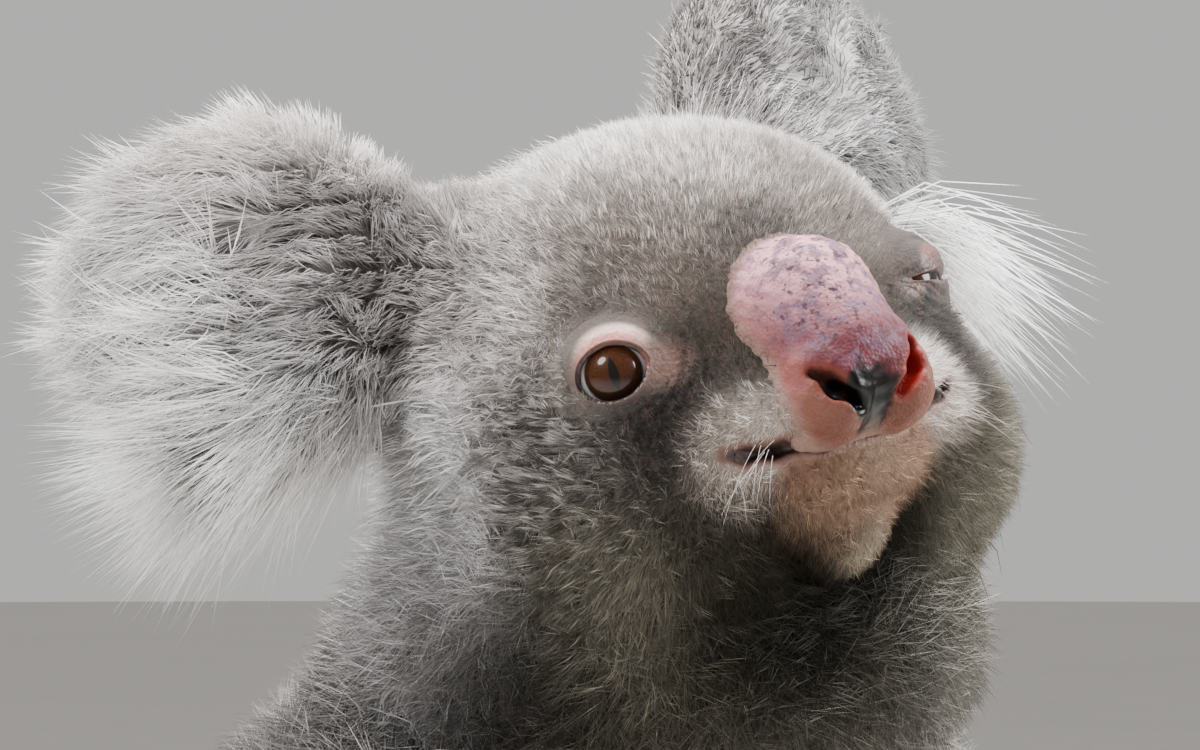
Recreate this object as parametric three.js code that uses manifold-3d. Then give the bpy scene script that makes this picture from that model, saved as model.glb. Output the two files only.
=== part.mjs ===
// A life-size adult koala that sits on the ground, with its head raised, cocked to its right and winking.
// Millimetres, +Z up. It faces -Y, its left side is +X, and the origin is on the floor under the middle of its box.
// The body is a field of soft ellipsoids and tapered limbs, out to the tips of the coat. Each named part is the
// share of that field that is nearest to its own shapes, with a thin cut between neighbours.

import * as THREE from "three";
import { mergeVertices } from "three/addons/utils/BufferGeometryUtils.js";
import Module from "manifold-3d";

const wasm = await Module();
wasm.setup();

// ---- Driving dimensions -------------------------------------------------------------------------------------

const PLACE = [-3, 44, 0]; // moves the shapes below so that the middle of their box stands over the origin

const CUT = 1.6; // width of the cut between two parts of the body
const SLIVER = 0.08; // edges and steps smaller than this are merged away after cutting
const GROWTH = 1.01; // scale of a part where its neighbour's facets are trimmed back from it
const EYE_GAP = 0.4; // clearance round an eyeball in the head
const NOSE_ROOM = 1.03; // scale of the socket to the nose pad

const HEAD_AT = [0, -62, 396.5]; // the point midway between the eyes, before PLACE
const HEAD_PITCH = 12; // degrees that the chin is raised
const HEAD_ROLL = 15; // degrees that the left ear is above the right one

const EYE_SPACING = 73; // between the centres of the eyeballs
const EYE_SET_BACK = 5; // how far an eyeball's centre lies behind the point between the eyes
const EYE_RADIUS = 9.5;

const EAR_SPACING = 166; // between the middles of the furred ears
const EAR_BACK = 60; // behind the eyes
const LEFT_EAR_IN = 13; // how much nearer the crown the left ear is held
const LEFT_EAR_UP = 6; // and how much higher
const EAR_RISE = 38; // above the eyes
const EAR_TURN = { right: 22, left: 2 }; // degrees that each ear faces outwards from straight ahead
const EAR_TIP = 4; // degrees that an ear leans back

// Edge of the grid that each kind of part is contoured on.
const GRID = { face: 14.2, jaw: 8, ear: 12, nose: 7.8, trunk: 27, neck: 22, arm: 18, leg: 19, paw: 15.5 };
const EYE_SIDES = [12, 8]; // round an eyeball, and from pole to pole

// A digit is a soft tube from the palm to its pad, with a claw that runs on from it.
const DIGIT = { radius: 10, padRadius: 7, arch: 3, archAt: 0.55, sink: 1.6, rootDrop: 4, sides: 5 };
const CLAW = { long: 17, radius: 3.4, waist: 2.7, tipRadius: 0.7, tipHeight: 1.2, root: 7, rise: 2, sides: 4 };

// ---- Soft shapes --------------------------------------------------------------------------------------------

const vec = (a) => new THREE.Vector3(...a);
const rad = THREE.MathUtils.degToRad;

// Distance to an ellipsoid, good near its surface.
function ball(centre, radii) {
  const c = vec(centre);
  const r = vec(radii);
  const q = new THREE.Vector3();
  return (p) => {
    const k0 = q.copy(p).sub(c).divide(r).length();
    const k1 = q.divide(r).length();
    return k1 > 0 ? (k0 * (k0 - 1)) / k1 : -Math.min(...radii);
  };
}

// Distance to a limb that tapers from radius ra at a to radius rb at b.
function limb(a, b, ra, rb) {
  const start = vec(a);
  const axis = vec(b).sub(start);
  const q = new THREE.Vector3();
  return (p) => {
    const t = THREE.MathUtils.clamp(q.copy(p).sub(start).dot(axis) / axis.lengthSq(), 0, 1);
    return q.addScaledVector(axis, -t).length() - (ra + t * (rb - ra));
  };
}

// Union of two distances, rounded over the width k.
function blend(a, b, k) {
  const h = Math.max(k - Math.abs(a - b), 0) / k;
  return Math.min(a, b) - (h * h * k) / 4;
}

const joined = (k, ...fields) => (p) => fields.map((f) => f(p)).reduce((a, b) => blend(a, b, k));
const carved = (field, k, cutter) => (p) => -blend(-field(p), cutter(p), k);

// The same shapes, placed by a matrix.
function placed(matrix, field) {
  const inverse = matrix.clone().invert();
  const q = new THREE.Vector3();
  return (p) => field(q.copy(p).applyMatrix4(inverse));
}

// ---- The head, in its own frame: +X its left, -Y ahead, +Z up, origin midway between the eyes -----------------

const headFrame = new THREE.Matrix4().compose(
  vec(HEAD_AT),
  new THREE.Quaternion().setFromEuler(
    new THREE.Euler(rad(-HEAD_PITCH), rad(-HEAD_ROLL), 0, "ZXY"),
  ),
  new THREE.Vector3(1, 1, 1),
);

const pair = (x, y, z, radii) => [ball([x, y, z], radii), ball([-x, y, z], radii)];

const skull = joined(
  16,
  ball([0, 44, 6], [61, 55, 48]), // braincase and brow
  ball([0, 12, -10], [36, 26, 30]), // root of the muzzle
  ...pair(31, 28, -30, [35, 42, 34]), // cheeks
  ball([0, -3, -24], [26, 26, 19]), // upper lip
  ball([0, 52, -42], [50, 42, 36]), // throat
);
const chin = joined(6, ball([0, -2, -38], [22, 20, 12]), ball([0, 3, -46], [16, 16, 12]));
const nosePad = joined(
  10,
  limb([0, 1, 6], [0, -18, -13], 16.5, 16), // bridge
  ...pair(7.5, -21, -17, [9, 11, 12]), // wings of the nostrils
);

function earFrame(side) {
  const local = new THREE.Matrix4().compose(
    vec([(side * EAR_SPACING) / 2 - (side > 0 ? LEFT_EAR_IN : 0), EAR_BACK, EAR_RISE + (side > 0 ? LEFT_EAR_UP : 0)]),
    new THREE.Quaternion().setFromEuler(new THREE.Euler(rad(-EAR_TIP), 0, rad(side > 0 ? EAR_TURN.left : -EAR_TURN.right), "ZXY")),
    new THREE.Vector3(side, 1, 1), // an ear's own +X points away from the head on both sides
  );
  return headFrame.clone().multiply(local);
}

// A shallow dish of fur that faces -Y, with the long fringe that hangs below it.
const ear = joined(
  10,
  carved(ball([-2, 0, 2], [42, 16, 43]), 10, ball([2, -25, 3], [26, 20, 26])),
  limb([4, 2, -14], [40, 4, -46], 28, 16), // fringe
  limb([-8, 2, 0], [-38, 6, -8], 17, 24), // root
);

const eyeAt = (side) =>
  vec([(side * EYE_SPACING) / 2, EYE_SET_BACK, 0]).applyMatrix4(headFrame);

// ---- The limbs: joints from the trunk to the paw, for one side. Asymmetry comes from the two lists ------------

const ARMS = {
  right: { shoulder: [-58, 4, 266], elbow: [-108, -28, 172], wrist: [-78, -112, 62], knuckle: [-64, -146, 18.5] },
  left: { shoulder: [58, 4, 266], elbow: [106, -36, 176], wrist: [72, -124, 64], knuckle: [54, -158, 18.5] },
};
const LEGS = {
  right: { hip: [-68, 34, 76], knee: [-128, -66, 98], ankle: [-118, -124, 34], ball: [-132, -174, 18] },
  left: { hip: [68, 34, 76], knee: [132, -58, 96], ankle: [122, -118, 34], ball: [132, -170, 18] },
};

// ---- All parts of flesh: a part's own field, how softly it joins the rest, and the grid it is contoured on -----

const parts = new Map();
const addPart = (name, field, soft, step, claim = field) => parts.set(name, { field, soft, step, claim });

// A length of limb. Its claim on the body stops short of the joints, so that the cut lies square across each.
function addLimb(name, from, to, ra, rb, soft, step) {
  const inner = (t) => vec(from).lerp(vec(to), t).toArray();
  addPart(name, limb(from, to, ra, rb), soft, step, limb(inner(0.15), inner(0.85), ra, rb));
}

addPart("abdomen", joined(40, ball([0, 46, 96], [112, 94, 101]), ball([0, 20, 158], [104, 108, 92])), 30, GRID.trunk);
addPart("chest", joined(40, ball([0, 16, 244], [92, 88, 84]), ball([4, 24, 284], [78, 66, 50])), 34, GRID.trunk);
addPart("neck", ball([7, -9, 330], [73, 68, 46]), 26, GRID.neck);
addPart("head", placed(headFrame, skull), 20, GRID.face);
addPart("jaw", placed(headFrame, chin), 5, GRID.jaw);
for (const [side, s] of [["right", -1], ["left", 1]]) {
  const arm = ARMS[side];
  const leg = LEGS[side];
  addPart(`ear_${side}`, placed(earFrame(s), ear), 10, GRID.ear);
  addLimb(`upper_arm_${side}`, arm.shoulder, arm.elbow, 42, 33, 26, GRID.arm);
  addLimb(`forearm_${side}`, arm.elbow, arm.wrist, 32, 24, 14, GRID.arm);
  addLimb(`hand_${side}`, arm.wrist, arm.knuckle, 21, 20, 10, GRID.paw);
  addLimb(`thigh_${side}`, leg.hip, leg.knee, 66, 42, 30, GRID.leg);
  addLimb(`shank_${side}`, leg.knee, leg.ankle, 39, 28, 16, GRID.leg);
  addLimb(`foot_${side}`, leg.ankle, leg.ball, 26, 22, 10, GRID.paw);
}

const body = (p) => [...parts.values()].reduce((d, part) => blend(d, part.field(p), part.soft), 1e3);

// The share of the body that is nearest to one part's own shapes, above the floor.
function share(name) {
  const own = parts.get(name).claim;
  const others = [...parts].filter(([other]) => other !== name).map(([, part]) => part.claim);
  return (p) => {
    const nearest = Math.min(...others.map((f) => f(p)));
    return Math.max(body(p), (own(p) - nearest + CUT) / 2);
  };
}

// ---- Dual contouring: one vertex in each cell that the surface crosses, where its tangent planes meet ----------

const CORNERS = [...Array(8).keys()].map((i) => [i & 1, (i >> 1) & 1, i >> 2]);
const EDGES = CORNERS.flatMap((_, i) => [1, 2, 4].filter((bit) => !(i & bit)).map((bit) => [i, i | bit]));
const PROBE = 0.4; // half the distance that a slope is measured over
const RIM = 0.03; // share of a cell along its walls that is kept free, so that no two vertices meet
const STIFFNESS = 0.06; // how strongly a vertex is held near the middle of its crossings

function slope(field, p) {
  const at = (x, y, z) => field(vec([x, y, z]).multiplyScalar(PROBE).add(p));
  return vec([at(1, 0, 0) - at(-1, 0, 0), at(0, 1, 0) - at(0, -1, 0), at(0, 0, 1) - at(0, 0, -1)]).normalize();
}

// The point with the least sum of squared distances to the tangent planes, kept near the crossings' middle.
function meeting(points, normals) {
  const middle = points.reduce((a, p) => a.add(p), new THREE.Vector3()).divideScalar(points.length);
  const m = [STIFFNESS, 0, 0, 0, STIFFNESS, 0, 0, 0, STIFFNESS];
  const right = new THREE.Vector3();
  points.forEach((p, i) => {
    const n = normals[i].toArray();
    m.forEach((_, k) => {
      m[k] += n[Math.floor(k / 3)] * n[k % 3];
    });
    right.addScaledVector(normals[i], p.clone().sub(middle).dot(normals[i]));
  });
  return middle.add(right.applyMatrix3(new THREE.Matrix3().set(...m).invert()));
}

// Visits every cell from one number up to a limit on each axis.
function everyCell(first, [nx, ny, nz], visit) {
  for (let z = first; z < nz; z++) {
    for (let y = first; y < ny; y++) {
      for (let x = first; x < nx; x++) visit(x, y, z);
    }
  }
}

function manifoldOf(positions, triangles) {
  return new wasm.Manifold(
    new wasm.Mesh({ numProp: 3, vertProperties: new Float32Array(positions), triVerts: new Uint32Array(triangles) }),
  );
}

const WALLS = [[1, 2], [2, 4], [4, 1]].map(([a, b]) => [0, a, a | b, b]); // the corners round each kind of cell wall

// Where the inside touches itself across a wall's diagonal, the weaker inside corner is put outside. Otherwise
// four faces would share an edge.
function unpinch(values, counts, at) {
  let pinched = true;
  const visit = (x, y, z) => {
    for (const wall of WALLS) {
      const spots = wall.map((c) => at(x + CORNERS[c][0], y + CORNERS[c][1], z + CORNERS[c][2]));
      const inside = spots.filter((i) => values[i] < 0);
      const facing = inside.length === 2 && (spots.indexOf(inside[1]) - spots.indexOf(inside[0])) === 2;
      if (!facing) continue;
      const weaker = values[inside[0]] > values[inside[1]] ? inside[0] : inside[1];
      values[weaker] *= -1;
      pinched = true;
    }
  };
  while (pinched) {
    pinched = false;
    everyCell(0, counts.map((n) => n - 1), visit);
  }
}

function contour(field, box, step) {
  const low = box.min.clone().subScalar(step);
  const counts = box.getSize(new THREE.Vector3()).toArray().map((s) => Math.ceil(s / step) + 3);
  const inner = counts.map((n) => n - 1);
  const at = (x, y, z) => x + counts[0] * (y + counts[1] * z);
  const place = (x, y, z) => new THREE.Vector3(x, y, z).multiplyScalar(step).add(low);
  const values = new Float32Array(counts[0] * counts[1] * counts[2]);
  everyCell(0, counts, (x, y, z) => {
    values[at(x, y, z)] = field(place(x, y, z));
  });
  unpinch(values, counts, at);

  const vertex = new Map();
  const positions = [];
  everyCell(0, inner, (x, y, z) => {
    const d = CORNERS.map(([i, j, k]) => values[at(x + i, y + j, z + k)]);
    const cell = place(x, y, z);
    const crossing = ([a, b]) =>
      vec(CORNERS[a]).lerp(vec(CORNERS[b]), d[a] / (d[a] - d[b])).multiplyScalar(step).add(cell);
    const points = EDGES.filter(([a, b]) => d[a] < 0 !== d[b] < 0).map(crossing);
    if (points.length === 0) return;
    const found = meeting(points, points.map((p) => slope(field, p)));
    found.clamp(cell.clone().addScalar(step * RIM), cell.clone().addScalar(step * (1 - RIM)));
    vertex.set(at(x, y, z), positions.length / 3);
    positions.push(...found);
  });

  const triangles = [];
  const corner = (i) => new THREE.Vector3().fromArray(positions, 3 * i);
  const quad = (loop, turned) => {
    const q = turned ? [...loop].reverse() : loop;
    const short = corner(q[0]).distanceTo(corner(q[2])) < corner(q[1]).distanceTo(corner(q[3]));
    triangles.push(...(short ? [q[0], q[1], q[2], q[0], q[2], q[3]] : [q[1], q[2], q[3], q[1], q[3], q[0]]));
  };
  everyCell(1, inner, (x, y, z) => {
    const here = values[at(x, y, z)] < 0;
    const v = (i, j, k) => vertex.get(at(x - i, y - j, z - k));
    if (here !== values[at(x + 1, y, z)] < 0) quad([v(0, 0, 0), v(0, 1, 0), v(0, 1, 1), v(0, 0, 1)], !here);
    if (here !== values[at(x, y + 1, z)] < 0) quad([v(0, 0, 0), v(0, 0, 1), v(1, 0, 1), v(1, 0, 0)], !here);
    if (here !== values[at(x, y, z + 1)] < 0) quad([v(0, 0, 0), v(1, 0, 0), v(1, 1, 0), v(0, 1, 0)], !here);
  });
  return manifoldOf(positions, triangles);
}

// ---- From shapes to solids and meshes -------------------------------------------------------------------------

function solidOf(geometry, centre) {
  const bare = geometry.clone().translate(...centre);
  bare.deleteAttribute("normal");
  bare.deleteAttribute("uv");
  const merged = mergeVertices(bare, 1e-3);
  return manifoldOf(merged.attributes.position.array, merged.index.array);
}

function geometryOf(solid) {
  const mesh = solid.getMesh();
  return new THREE.BufferGeometry()
    .setAttribute("position", new THREE.BufferAttribute(mesh.vertProperties, 3))
    .setIndex(new THREE.BufferAttribute(mesh.triVerts, 1))
    .toNonIndexed();
}

// A solid scaled about the middle of its box.
function grown(solid, scale) {
  const { min, max } = solid.boundingBox();
  const middle = vec(min).add(vec(max)).divideScalar(2).toArray();
  return solid.translate(middle.map((v) => -v)).scale(scale).translate(middle);
}

const largest = (solid) => solid.decompose().sort((a, b) => b.volume() - a.volume())[0];

const ROOM = new THREE.Box3(vec([-200, -220, -15]), vec([200, 160, 520])); // holds the whole body
const PACE = 9; // step of the search for a part's box

// The box that holds a field's inside, with a pace to spare.
function boxOf(field) {
  const box = new THREE.Box3();
  const size = ROOM.getSize(new THREE.Vector3()).divideScalar(PACE);
  everyCell(0, size.toArray(), (x, y, z) => {
    const p = new THREE.Vector3(x, y, z).multiplyScalar(PACE).add(ROOM.min);
    if (field(p) < PACE) box.expandByPoint(p);
  });
  return box;
}

const GROUND = { side: 800, deep: 100 }; // a block whose top is the floor
const FLOOR = solidOf(new THREE.BoxGeometry(GROUND.side, GROUND.side, GROUND.deep), [0, 0, -GROUND.deep / 2]);

// ---- Digits and claws -----------------------------------------------------------------------------------------

// A closed tube through points, with a radius at each, as rings of a few sides.
function spindle(points, radii, sides) {
  const curve = new THREE.CatmullRomCurve3(points.map(vec));
  const steps = points.length - 1;
  const spots = [];
  for (let i = 0; i <= steps; i++) {
    const t = i / steps;
    const along = curve.getTangent(t);
    const across = new THREE.Vector3(0, 0, 1).cross(along).normalize();
    const up = along.clone().cross(across);
    for (let s = 0; s < sides; s++) {
      const angle = (2 * Math.PI * s) / sides;
      const spot = curve.getPoint(t).addScaledVector(across, radii[i] * Math.cos(angle));
      spots.push(spot.addScaledVector(up, radii[i] * Math.sin(angle)));
    }
  }
  const root = spots.length;
  spots.push(curve.getPoint(0), curve.getPoint(1));
  const index = [];
  for (let s = 0; s < sides; s++) {
    const next = (s + 1) % sides;
    for (let i = 0; i < steps; i++) {
      const [a, b, c, d] = [i * sides + s, i * sides + next, (i + 1) * sides + next, (i + 1) * sides + s];
      index.push(a, b, c, a, c, d);
    }
    index.push(root, next, s, root + 1, steps * sides + s, steps * sides + next);
  }
  return manifoldOf(spots.flatMap((p) => p.toArray()), index);
}

// Toes or fingers in a fan ahead of the palm, each with its claw. Angles are degrees outwards from straight ahead.
function digits(palm, ahead, side, fan) {
  const turn = Math.atan2(ahead[1], ahead[0]);
  const [inward, onward] = [-side * Math.sin(turn), side * Math.cos(turn)];
  return fan.map(({ angle, long, spread, clawed }) => {
    const a = turn - side * rad(angle);
    const root = [palm[0] + spread * inward, palm[1] + spread * onward];
    const go = (d, z) => [root[0] + d * Math.cos(a), root[1] + d * Math.sin(a), z];
    const toe = spindle(
      [
        go(0, palm[2] - DIGIT.rootDrop),
        go(long * DIGIT.archAt, DIGIT.radius + DIGIT.arch),
        go(long, DIGIT.padRadius - DIGIT.sink),
      ],
      [DIGIT.radius + 1, DIGIT.radius, DIGIT.padRadius],
      DIGIT.sides,
    );
    if (!clawed) return toe;
    const nail = spindle(
      [
        go(long - CLAW.root, DIGIT.padRadius + CLAW.rise),
        go(long + CLAW.long / 2, DIGIT.padRadius + CLAW.rise / 2),
        go(long + CLAW.long, CLAW.tipHeight),
      ],
      [CLAW.radius, CLAW.waist, CLAW.tipRadius],
      CLAW.sides,
    );
    return toe.add(nail);
  });
}

const FINGERS = [
  { angle: -52, long: 26, spread: -13, clawed: true },
  { angle: -24, long: 30, spread: -9, clawed: true },
  { angle: 2, long: 33, spread: 0, clawed: true },
  { angle: 20, long: 34, spread: 7, clawed: true },
  { angle: 40, long: 30, spread: 12, clawed: true },
];
const TOES = [
  { angle: -70, long: 26, spread: -12, clawed: false },
  { angle: -16, long: 33, spread: -8, clawed: true },
  { angle: 10, long: 38, spread: 2, clawed: true },
  { angle: 34, long: 34, spread: 11, clawed: true },
];

const planar = (a, b) => [b[0] - a[0], b[1] - a[1]];
const FANS = Object.fromEntries(
  [["right", -1], ["left", 1]].flatMap(([side, s]) => [
    [`hand_${side}`, digits(ARMS[side].knuckle, planar(ARMS[side].wrist, ARMS[side].knuckle), s, FINGERS)],
    [`foot_${side}`, digits(LEGS[side].ball, planar(LEGS[side].ankle, LEGS[side].ball), s, TOES)],
  ]),
);

// ---- Assembly ---------------------------------------------------------------------------------------------------

const COAT = { color: 0x8d8985, roughness: 0.95, metalness: 0 };
const PALE = { color: 0xd9d4cf, roughness: 0.95, metalness: 0 };
const SKIN = { color: 0xc79a97, roughness: 0.6, metalness: 0 };
const EYE = { color: 0x4a2410, roughness: 0.08, metalness: 0 };

const koala = new THREE.Group();

function addNode(name, solid, finish) {
  const mesh = new THREE.Mesh(geometryOf(solid.translate(PLACE)), new THREE.MeshStandardMaterial(finish));
  mesh.name = name;
  koala.add(mesh);
}

const eyeball = (side, radius) => solidOf(new THREE.SphereGeometry(radius, ...EYE_SIDES), eyeAt(side));
const nose = placed(headFrame, nosePad);
const noseSolid = contour(nose, boxOf(nose), GRID.nose);

// The parts, from the paws and face inwards. Each is trimmed clear of the ones before it.
const solids = new Map();
for (const [name, part] of [...parts].reverse()) {
  const field = share(name);
  const digitsOfPart = FANS[name] ?? [];
  let solid = largest(contour(field, boxOf(field), part.step));
  for (const digit of digitsOfPart) solid = solid.add(digit);
  if (name === "head") {
    for (const side of [-1, 1]) solid = solid.subtract(eyeball(side, EYE_RADIUS + EYE_GAP));
  }
  if (name === "head" || name === "jaw") solid = solid.subtract(grown(noseSolid, NOSE_ROOM));
  for (const done of solids.values()) {
    if (solid.intersect(done).volume() > 0) solid = solid.subtract(grown(done, GROWTH));
  }
  solids.set(name, largest(solid.subtract(FLOOR).simplify(SLIVER)));
}

for (const name of parts.keys()) {
  const pale = name.startsWith("ear") || name === "jaw";
  addNode(name, solids.get(name), pale ? PALE : COAT);
}
addNode("nose", noseSolid, SKIN);
addNode("eye_right", eyeball(-1, EYE_RADIUS), EYE);
addNode("eye_left", eyeball(1, EYE_RADIUS), EYE);

export default koala;
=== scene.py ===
"""A life-size koala that sits on the floor with its head raised and cocked, one eye nearly closed.

The body is one skin, drawn as the surface of a field of soft ellipsoids and tapered limbs. The coat
is made of tufts rooted on that skin. Shapes are given in millimetres, before PLACE moves them over
the origin of the frame.
"""

import math
from contextlib import contextmanager

import bmesh
import bpy
import numpy as np
from bpy.props import FloatProperty, FloatVectorProperty, IntProperty, PointerProperty
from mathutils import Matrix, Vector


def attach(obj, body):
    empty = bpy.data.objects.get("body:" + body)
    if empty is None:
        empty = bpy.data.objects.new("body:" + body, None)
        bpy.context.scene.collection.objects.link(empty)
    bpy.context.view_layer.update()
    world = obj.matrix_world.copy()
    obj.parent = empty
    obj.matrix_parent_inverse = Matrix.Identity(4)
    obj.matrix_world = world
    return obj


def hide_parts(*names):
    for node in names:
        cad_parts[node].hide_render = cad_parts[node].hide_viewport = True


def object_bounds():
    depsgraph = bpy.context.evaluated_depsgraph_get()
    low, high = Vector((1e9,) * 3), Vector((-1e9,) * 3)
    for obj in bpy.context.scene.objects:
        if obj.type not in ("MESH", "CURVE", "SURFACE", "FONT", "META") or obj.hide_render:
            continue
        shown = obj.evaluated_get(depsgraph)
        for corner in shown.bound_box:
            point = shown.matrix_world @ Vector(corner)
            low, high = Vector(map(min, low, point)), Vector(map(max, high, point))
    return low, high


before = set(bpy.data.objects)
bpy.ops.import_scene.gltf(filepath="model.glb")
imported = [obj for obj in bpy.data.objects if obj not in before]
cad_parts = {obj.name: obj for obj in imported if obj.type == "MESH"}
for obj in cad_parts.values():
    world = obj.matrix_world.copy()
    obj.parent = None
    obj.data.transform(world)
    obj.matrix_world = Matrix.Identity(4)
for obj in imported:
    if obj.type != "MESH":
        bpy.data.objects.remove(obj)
CAD_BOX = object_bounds()

bl_info = {
    "name": "Koala model",
    "version": (1, 0, 0),
    "blender": (4, 5, 0),
    "location": "3D View > Sidebar > Koala",
    "description": "Builds the skin, coat, eyes, nose, claws and studio of a life-size koala",
    "category": "Add Mesh",
}

MM = 0.001
PLACE = np.array([-3.0, 44.0, 0.0])  # from shape coordinates to the frame, in mm
FLOOR_GAP = 0.4  # least height of any skin or hair above the floor


# ---- Vectors, noise and colours ------------------------------------------------------------------


def smooth(low, high, x):
    """Rises smoothly from 0 at low to 1 at high."""
    t = np.clip((x - low) / (high - low), 0.0, 1.0)
    return t * t * (3.0 - 2.0 * t)


def unit(v):
    """Vectors scaled to length 1."""
    return v / np.maximum(np.linalg.norm(v, axis=-1, keepdims=True), 1e-9)


def tangent(v, n):
    """The part of v that lies in the surface with normal n, scaled to length 1."""
    return unit(v - n * (v * n).sum(-1, keepdims=True))


def mix(a, b, t):
    """Blends arrays of vectors or colours by a share for each row."""
    t = np.asarray(t)[..., None]
    return a * (1.0 - t) + b * t


def waves(p, size, seed, out=3):
    """Smooth noise of a feature size in mm: `out` values for each point, from about -1 to 1."""
    rng = np.random.default_rng(seed)
    count = 7
    total = np.zeros((len(p), out))
    for _ in range(count):
        way = unit(rng.normal(size=(out, 3))) * rng.uniform(0.7, 1.6, (out, 1)) * 2.0 * math.pi / size
        total += np.sin(p @ way.T + rng.uniform(0.0, 6.283, out))
    return total / math.sqrt(count) * 0.9


def tone(red, green, blue):
    """A colour given as it is seen, 0 to 255 a channel, in scene-linear values."""
    c = np.array([red, green, blue]) / 255.0
    return np.where(c <= 0.04045, c / 12.92, ((c + 0.055) / 1.055) ** 2.4)


# ---- Soft shapes: each is a function from points to distances ------------------------------------


def ball(centre, radii):
    """Distance to an ellipsoid, good near its surface."""
    c, r = np.array(centre, float), np.array(radii, float)

    def field(p):
        q = (p - c) / r
        k0 = np.sqrt((q * q).sum(-1))
        q = q / r
        return k0 * (k0 - 1.0) / np.maximum(np.sqrt((q * q).sum(-1)), 1e-9)

    return field


def limb(a, b, ra, rb):
    """Distance to a limb that tapers from radius ra at a to radius rb at b."""
    a = np.array(a, float)
    d = np.array(b, float) - a

    def field(p):
        q = p - a
        t = np.clip(q @ d / (d @ d), 0.0, 1.0)
        q = q - t[..., None] * d
        return np.sqrt((q * q).sum(-1)) - (ra + t * (rb - ra))

    return field


def blend(a, b, k):
    """Union of two distances, rounded over the width k."""
    h = np.maximum(k - np.abs(a - b), 0.0) / k
    return np.minimum(a, b) - h * h * k / 4.0


def joined(k, *fields):
    """Union of several shapes."""

    def field(p):
        d = fields[0](p)
        for f in fields[1:]:
            d = blend(d, f(p), k)
        return d

    return field


def carved(body, k, cutter):
    """A shape with another cut out of it."""
    return lambda p: -blend(-body(p), cutter(p), k)


def inset(body, depth):
    """A shape shrunk by a depth."""
    return lambda p: body(p) + depth


def pair(x, y, z, radii):
    """The same ellipsoid on both sides."""
    return [ball([x, y, z], radii), ball([-x, y, z], radii)]


def turned(axis, degrees):
    """Rotation matrix about one axis."""
    c, s = math.cos(math.radians(degrees)), math.sin(math.radians(degrees))
    rows = {"x": [[1, 0, 0], [0, c, -s], [0, s, c]], "y": [[c, 0, s], [0, 1, 0], [-s, 0, c]]}
    rows["z"] = [[c, -s, 0], [s, c, 0], [0, 0, 1]]
    return np.array(rows[axis], float)


# ---- The head's own frame: +X its left, -Y ahead, +Z up, origin midway between the eyes ----------

HEAD_AT = np.array([0.0, -62.0, 396.5])
HEAD_TURN = turned("x", -12.0) @ turned("y", -15.0)  # chin raised, head cocked to its right
EYE_RADIUS = 9.5
EYE_AT = np.array([36.5, 5.0, 0.0])  # the left eye; the right one mirrors it
EAR_AT = {-1: np.array([-83.0, 60.0, 38.0]), 1: np.array([70.0, 60.0, 44.0])}  # the left ear is pricked up
EAR_TURN = {s: turned("x", -4.0) @ turned("z", z) for s, z in ((-1, -22.0), (1, 2.0))}
SIDES = {"right": -1, "left": 1}


def to_head(p):
    """Body coordinates as head coordinates."""
    return (p - HEAD_AT) @ HEAD_TURN


def from_head(q):
    """Head coordinates as body coordinates."""
    return q @ HEAD_TURN.T + HEAD_AT


def to_ear(p, side):
    """Ear coordinates: +X away from the head, -Y ahead, +Z up."""
    return (to_head(p) - EAR_AT[side]) @ EAR_TURN[side] * [side, 1, 1]


def ear_to_world(v, side):
    """Turns directions in an ear's frame into directions in the body's frame."""
    return (v * [side, 1, 1]) @ EAR_TURN[side].T @ HEAD_TURN.T


def eye_centre(side):
    """The middle of an eyeball, in the head's frame."""
    return EYE_AT * [side, 1, 1]


# ---- The flesh under the coat --------------------------------------------------------------------

skull = joined(
    14,
    ball([0, 44, 6], [58.5, 52.5, 45.5]),  # braincase and brow
    ball([0, 12, -10], [34, 24, 28]),  # root of the muzzle
    *pair(30, 28, -30, [31, 38.5, 30.5]),  # cheeks
    ball([0, -3, -20], [29, 23.5, 13.0]),  # upper lip
    ball([0, 52, -42], [42, 34, 28]),  # throat
    *pair(36.5, 5, 0, [8.6, 8.6, 8.6]),  # the mound over each eyeball
)
jaw = joined(6, ball([-0.5, -2, -34], [24.5, 18.5, 10.5]), ball([-1, 0.5, -43], [11.5, 13, 10.5]))
LIP_GAP = 0.75  # half the width of the line between the lips
MOUTH = [[-29, -8, -23.5], [-25, -13.5, -25], [-19, -18.5, -26], [-10, -22.5, -27.3], [0, -24.5, -28]]


def mouth(q):
    """The groove between the lips."""
    q = np.stack([-np.abs(q[:, 0]), q[:, 1], q[:, 2]], -1)
    across, depths, _ = zip(*MOUTH)
    depth = np.interp(q[:, 0], across, depths)
    q = np.stack([q[:, 0], (q[:, 1] - depth) * 0.2, q[:, 2]], -1)
    line = [[x, 0, z] for x, _, z in MOUTH]
    return joined(2.5, *[limb(a, b, LIP_GAP, LIP_GAP) for a, b in zip(line, line[1:])])(q)


bridge = limb([2.2, -13.2, 0.4], [1.6, -22.0, -11.0], 14.9, 12.4)
pinna = joined(
    8,
    carved(ball([-7, 0, 4], [31, 9, 32]), 6, ball([-5, -23, 5], [23, 20.5, 23])),
    limb([-16, 2, 0], [-40, 6, -8], 10, 17),
)


def ear(side):
    """The flesh of one ear."""
    return lambda p: pinna(to_ear(p, side))


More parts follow.
